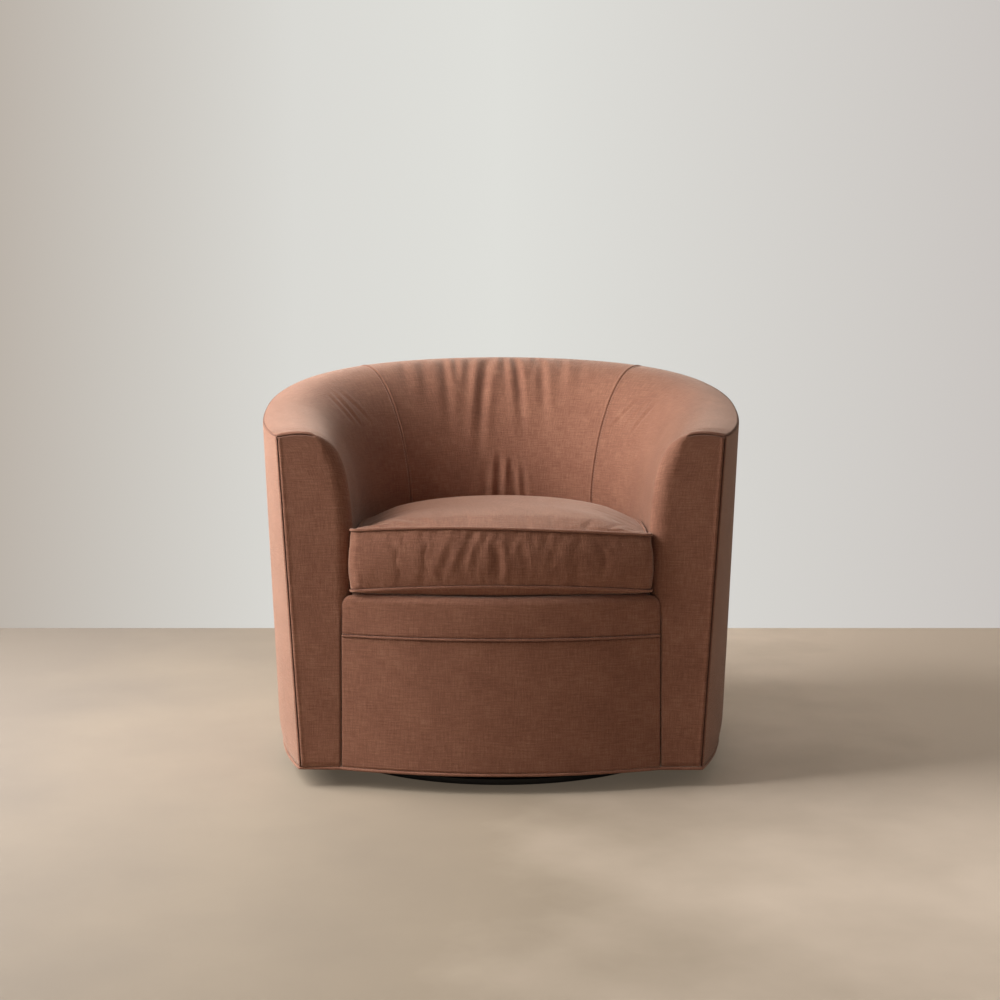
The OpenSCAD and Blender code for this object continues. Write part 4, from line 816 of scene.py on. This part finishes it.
def outline(depth):
    """The cushion's plan, set in by depth: a half circle at the back, sides that draw in, corners
    of 16 mm radius that spread by 5 mm and turn 70 degrees, and a front bowed by 23 mm."""
    r, half, corner = CUSHION_R - depth, CUSHION_HALF - depth, 0.016 - depth / 2
    front = FRONT_Y + depth
    centre = front + corner
    inner = half + 0.005 - corner
    sagitta, length = 0.023, 0.022
    bow = (0.2405**2 + sagitta**2) / (2 * sagitta)
    n_back, n_side, n_flare, n_turn, n_nose = 90, 34, 10, 14, 80
    w = np.radians(np.linspace(90, -90, n_back + 1))
    back = np.stack([r * np.sin(w), SEAT_Y + r * np.cos(w)], -1)
    t = np.arange(1, n_side + 1) / n_side
    side = np.stack([-blend(r, half, t * t), blend(SEAT_Y, centre + length, t)], -1)
    t = np.arange(1, n_flare) / n_flare
    flare = np.stack([-half - 0.005 * ease(t), centre + length * (1 - t)], -1)
    side = np.concatenate([side, flare])
    w = np.radians(np.linspace(0, 70, n_turn + 1))
    turn = np.stack([-inner - corner * np.cos(w), centre - corner * np.sin(w)], -1)
    x = blend(-inner, inner, np.arange(1, n_nose) / n_nose)
    nose = np.stack([x, front - (np.sqrt(bow**2 - x**2) - bow + sagitta)], -1)
    return np.concatenate([back, side, turn, nose, turn[::-1] * [-1, 1], side[::-1] * [-1, 1]])


def even(loop, n):
    """n points at an even step round a closed loop."""
    loop = np.concatenate([loop, loop[:1]])
    run = running(loop)
    at = np.linspace(0, run[-1], n, endpoint=False)
    return np.stack([np.interp(at, run, loop[:, i]) for i in range(loop.shape[1])], -1)


def cushion_body():
    """Rings from the middle of the bottom out to its seam, up the boxing with a swell of half a
    sine wave, and in over the crown, whose height left to the top falls as (1 - q)^2.75."""
    ring = even(outline(0.002), 300)
    mid = np.array([0, MIDDLE_Y])
    low, high = seams(ring[:, 0], ring[:, 1])
    out = unit(ring - mid)
    rows = []
    for q in 1 - np.linspace(0.12, 1, 30) ** 0.8:
        rows.append((q, 0.0, np.where(q > 0.03, DECK_Z + 0.0008, low - 0.001)))
    for t in np.linspace(0, 1, 24):
        rows.append((0.0, 0.004 * np.sin(np.pi * t), blend(low, high, t)))
    for q in np.linspace(0.01, 0.92, 40):
        rows.append((q, 0.0, blend(CROWN_Z, high, (1 - q) ** 2.75)))
    flat = [ring + (mid - ring) * q + out * swell for q, swell, _ in rows]
    return np.stack([np.column_stack([xy, z]) for xy, (_, _, z) in zip(flat, rows)])


def closed_mesh(name, rings):
    """A tube of rings closed by one point at each end, faces outward for rings that rise."""
    rows, cols = rings.shape[:2]
    k = np.arange(rows * cols).reshape(rows, cols)
    quads = np.stack([k[:-1], np.roll(k[:-1], 1, 1), np.roll(k[1:], 1, 1), k[1:]], -1).reshape(-1, 4)
    low = np.stack([np.full(cols, rows * cols), np.roll(k[0], 1), k[0]], -1)
    high = np.stack([np.full(cols, rows * cols + 1), k[-1], np.roll(k[-1], 1)], -1)
    mesh = bpy.data.meshes.new(name)
    points = np.concatenate([rings.reshape(-1, 3), rings[0].mean(0)[None], rings[-1].mean(0)[None]])
    mesh.from_pydata(points.tolist(), [], quads.tolist() + low.tolist() + high.tolist())
    return placed(name, mesh)


cushion = closed_mesh("seat_cushion", cushion_body())
body = bmesh.new()
body.from_mesh(cushion.data)
bmesh.ops.recalc_face_normals(body, faces=body.faces)
body.to_mesh(cushion.data)
body.free()
bpy.context.view_layer.objects.active = cushion
cushion.select_set(True)
remesh = cushion.modifiers.new("even_mesh", "REMESH")
remesh.mode = "VOXEL"
remesh.voxel_size = 0.006
bpy.ops.object.modifier_apply(modifier="even_mesh")


def positions(mesh):
    """The mesh's vertices as an array."""
    co = np.empty(len(mesh.vertices) * 3)
    mesh.vertices.foreach_get("co", co)
    return co.reshape(-1, 3)


# The crown's core is one moulding, so the lines that run in from its corners are evened out.
before = positions(cushion.data)
crown = cushion.vertex_groups.new(name="crown")
over = before[:, 2] > seams(before[:, 0], before[:, 1])[1] + 0.005
crown.add(np.flatnonzero(over).tolist(), 1.0, "REPLACE")
evened = cushion.modifiers.new("evened", "SMOOTH")
evened.factor = 0.5
evened.iterations = 60
evened.vertex_group = "crown"
bpy.ops.object.modifier_apply(modifier="evened")
cushion.vertex_groups.remove(cushion.vertex_groups["crown"])

FILL_CAP = 0.006  # the furthest that filling out moves the cloth
before = positions(cushion.data)
# The seams and the underside hold while the panels fill out under pressure.
low, high = seams(before[:, 0], before[:, 1])
height = before[:, 2]
pinned = (np.abs(height - low) < 0.004) | (np.abs(height - high) < 0.003) | (height < DECK_Z + 0.004)
group = cushion.vertex_groups.new(name="seams")
group.add(np.flatnonzero(pinned).tolist(), 1.0, "REPLACE")
sim = cushion.modifiers.new("filling", "CLOTH")
cotton = sim.settings
cotton.quality = 6
cotton.mass = 0.3
cotton.tension_stiffness = cotton.compression_stiffness = 12
cotton.bending_stiffness = 0.25
cotton.use_pressure = True
cotton.uniform_pressure_force = 4.0
cotton.effector_weights.gravity = 0.0
cotton.vertex_group_mass = "seams"
cotton.shrink_min = -0.012
sim.collision_settings.use_collision = False
scene = bpy.context.scene
for step in range(1, 21):
    scene.frame_set(step)
filled = cushion.evaluated_get(bpy.context.evaluated_depsgraph_get())
after = positions(filled.data)
cushion.modifiers.remove(sim)
scene.frame_set(1)
move = after - before
far = np.linalg.norm(move, axis=1, keepdims=True)
move *= np.minimum(1, FILL_CAP / np.maximum(far, 1e-9))
cushion.data.vertices.foreach_set("co", (before + move).ravel())
cushion.data.update()
smooth = cushion.modifiers.new("finer", "SUBSURF")
smooth.levels = smooth.render_levels = 1
bpy.ops.object.modifier_apply(modifier="finer")

# Puckers on the front boxing: place across, lean, height from and to as shares, depth, half width.
co = positions(cushion.data)
low, high = seams(co[:, 0], co[:, 1])
share = np.clip((co[:, 2] - low) / (high - low), 0, 1)
front = ease((-0.30 - co[:, 1]) / 0.05) * (share > 0.001) * (share < 0.999)
push = np.zeros(len(co))
for centre, lean, low, high, depth, wide in [
    (-0.165, 0.10, 0.10, 0.9, 0.0006, 0.012),
    (-0.118, 0.25, 0.30, 1.1, 0.0008, 0.008),
    (-0.092, 0.30, 0.00, 0.8, 0.0009, 0.007),
    (-0.064, 0.35, 0.10, 1.1, 0.0015, 0.007),
    (-0.036, 0.30, 0.45, 1.1, 0.0009, 0.006),
    (-0.008, -0.10, -0.10, 0.9, 0.0020, 0.007),
    (0.012, 0.30, 0.45, 1.1, 0.0013, 0.005),
    (0.036, -0.15, 0.30, 1.1, 0.0011, 0.006),
    (0.068, 0.20, 0.45, 1.1, 0.0011, 0.006),
    (0.092, 0.25, 0.20, 1.0, 0.0008, 0.008),
    (0.140, -0.10, 0.30, 1.0, 0.0005, 0.012),
]:
    off = co[:, 0] - centre - lean * 0.1 * (share - 0.5)
    window = ease((share - low) / 0.4) * ease((high - share) / 0.3)
    lips = 0.7 * hill(off - 2 * wide, wide) + 0.3 * hill(off + 2 * wide, wide)
    push -= depth * window * (hill(off, wide) - lips)
co[:, 1] -= push * front
cushion.data.vertices.foreach_set("co", co.ravel())

# Cloth coordinates: the boxing by its run round the cushion and its height, the panels by plan.
loop = even(outline(0.0), 720)
angle = np.unwrap(np.arctan2(loop[:, 1] - MIDDLE_Y, loop[:, 0]))
run = running(loop)
order = np.argsort(angle)
corner_vertex = np.empty(len(cushion.data.loops), int)
cushion.data.loops.foreach_get("vertex_index", corner_vertex)
face_normal = np.empty(len(cushion.data.polygons) * 3)
cushion.data.polygons.foreach_get("normal", face_normal)
face_size = np.empty(len(cushion.data.polygons), int)
cushion.data.polygons.foreach_get("loop_total", face_size)
upright = np.repeat(np.abs(face_normal.reshape(-1, 3)[:, 2]) < 0.7, face_size)
at = co[corner_vertex]
turned = np.arctan2(at[:, 1] - MIDDLE_Y, at[:, 0])
turned = np.where(turned < angle.min(), turned + 2 * np.pi, turned)
turned = np.where(turned > angle.max(), turned - 2 * np.pi, turned)
round_it = np.interp(turned, angle[order], run[order])
uv = np.where(upright[:, None], np.stack([round_it, at[:, 2]], -1), at[:, :2])
cushion.data.uv_layers.new(name="Cloth").data.foreach_set("uv", uv.ravel())
cushion.data.shade_smooth()
cushion.data.materials.append(cloth)
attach(cushion, "cushion")
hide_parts("cushion_core", "cushion_top_panel", "cushion_boxing", "cushion_bottom_panel")

# Piped welts at both seams of the cushion, with painted shade on the side sewn into the boxing.
for name, which, above, below in (("bottom", 0, 0.9, 0.0), ("top", 1, 0.0, 0.9)):
    ring = even(outline(0.0028), 760)
    path = np.concatenate([ring, seams(ring[:, 0], ring[:, 1])[which][:, None]], 1)
    welt = piping(f"cushion_piping_{name}", path, 0.0030, True, 0.00015, above, below)
    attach(welt, "cushion")
    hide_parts(f"cushion_welt_{name}")

# Nylon coil zip on a woven tape, its coils 2 mm apart, sewn into the back of the boxing.
stops = [(0.2, "#4a3128"), (0.9, "#6a4a3d")]
tape = textured("nylon_zip_tape", "Wave", {"Scale": 160.0}, stops, 0.0004, "X", Roughness=0.6)
dress(tape, "cushion_zip")

# Studio. A pale warm floor meets a plain off-white wall behind the chair; a broad soft light from
# the left does most of the work, with a weak one from the front left.
WALL_Y, FAR = 1.067, 9.0
front_part = [(-FAR, -FAR, 0), (FAR, -FAR, 0), (FAR, WALL_Y, 0), (-FAR, WALL_Y, 0)]
floor_mesh = bpy.data.meshes.new("studio_floor")
floor_mesh.from_pydata([*front_part, (FAR, FAR, 0), (-FAR, FAR, 0)], [], [(0, 1, 2, 3), (3, 2, 4, 5)])
floor = placed("studio_floor", floor_mesh)
stone, tree, shader = start("pale_studio_floor", Roughness=0.75)
place = here(tree)
mottle = noise(tree, place, 3.0, 5.0)
# Its colour is painted darker towards the window side and lighter away from it, as painted shade and
# painted light against the lamps' fall-off; and a part of what the camera sees of it is an even tone, so
# that the fall-off shows less still.
across = add(tree, "ShaderNodeSeparateXYZ", {0: place}).outputs[0]
across = add(tree, "ShaderNodeMapRange", {"Value": across, "From Min": -1.2, "From Max": 1.2}).outputs[0]
tone = more(tree, mottle, 0.35, across)
paint(tree, shader, tone, [(0.25, "#857b72"), (0.66, "#a49583"), (1.0, "#ecdac8")])
plain = tint(tree, mottle, [(0.3, "#b5a38d"), (0.7, "#bfad98")])
even_floor = add(tree, "ShaderNodeEmission", {"Color": plain})
direct = add(tree, "ShaderNodeLightPath").outputs["Is Camera Ray"]
part = add(tree, "ShaderNodeMath", {0: direct, 1: 0.15}, operation="MULTIPLY").outputs[0]
seen = add(tree, "ShaderNodeMixShader", {0: part, 1: shader.outputs[0], 2: even_floor.outputs[0]})
tree.links.new(seen.outputs[0], tree.nodes["Material Output"].inputs["Surface"])
floor_mesh.materials.append(stone)
wall_mesh = bpy.data.meshes.new("studio_wall")
corners = [(-FAR, WALL_Y, 0), (FAR, WALL_Y, 0), (FAR, WALL_Y, 6), (-FAR, WALL_Y, 6)]
wall_mesh.from_pydata(corners, [], [(0, 1, 2, 3)])
wall = placed("studio_wall", wall_mesh)
wall_paint, tree, shader = start("matt_wall_paint", Roughness=0.9, Base_Color=linear("#e6e5e1"))
# Seen directly the wall glows an off-white with painted shade towards its sides; seen from behind it is
# clear, so that the chair's back can be looked at.
place = here(tree)
across = add(tree, "ShaderNodeSeparateXYZ", {0: place}).outputs[0]
across = add(tree, "ShaderNodeMapRange", {"Value": across, "From Min": -1.4, "From Max": 1.4}).outputs[0]
pale = tint(tree, across, [(0.0, "#bab1a7"), (0.3, "#dad9d4"), (0.5, "#dfdfda"), (1.0, "#c9c4c0")])
white_glow_painted_shade = add(tree, "ShaderNodeEmission", {"Color": pale}).outputs[0]
direct = add(tree, "ShaderNodeLightPath").outputs["Is Camera Ray"]
clear = add(tree, "ShaderNodeBsdfTransparent").outputs[0]
behind = add(tree, "ShaderNodeNewGeometry").outputs["Backfacing"]
seen = add(tree, "ShaderNodeMixShader", {0: direct, 1: shader.outputs[0], 2: white_glow_painted_shade}).outputs[0]
both = add(tree, "ShaderNodeMixShader", {0: behind, 1: seen, 2: clear})
tree.links.new(both.outputs[0], tree.nodes["Material Output"].inputs["Surface"])
wall_mesh.materials.append(wall_paint)

for name, spot, aim, size, power, colour in (
    ("window_light", (-1.7, -0.32, 1.45), (0.0, 0.0, 0.48), (1.5, 1.8), 95.0, "#fffdf9"),
    ("front_fill", (-1.9, -2.5, 1.5), (0.0, 0.0, 0.4), (2.0, 1.6), 3.6, "#ffeedd"),
):
    lamp = bpy.data.lights.new(name, "AREA")
    lamp.shape = "RECTANGLE"
    lamp.size, lamp.size_y = size
    lamp.energy = power
    lamp.color = linear(colour)[:3]
    held = placed(name, lamp)
    held.location = spot
    toward = np.array(aim) - np.array(spot)
    flat = math.hypot(toward[0], toward[1])
    held.rotation_euler = (math.atan2(flat, -toward[2]), 0, math.atan2(toward[1], toward[0]) - math.pi / 2)
world = bpy.data.worlds.new("studio_air")
bpy.context.scene.world = world
world.use_nodes = True
air = world.node_tree.nodes["Background"].inputs
air["Color"].default_value = linear("#f4efe9")
air["Strength"].default_value = 0.2
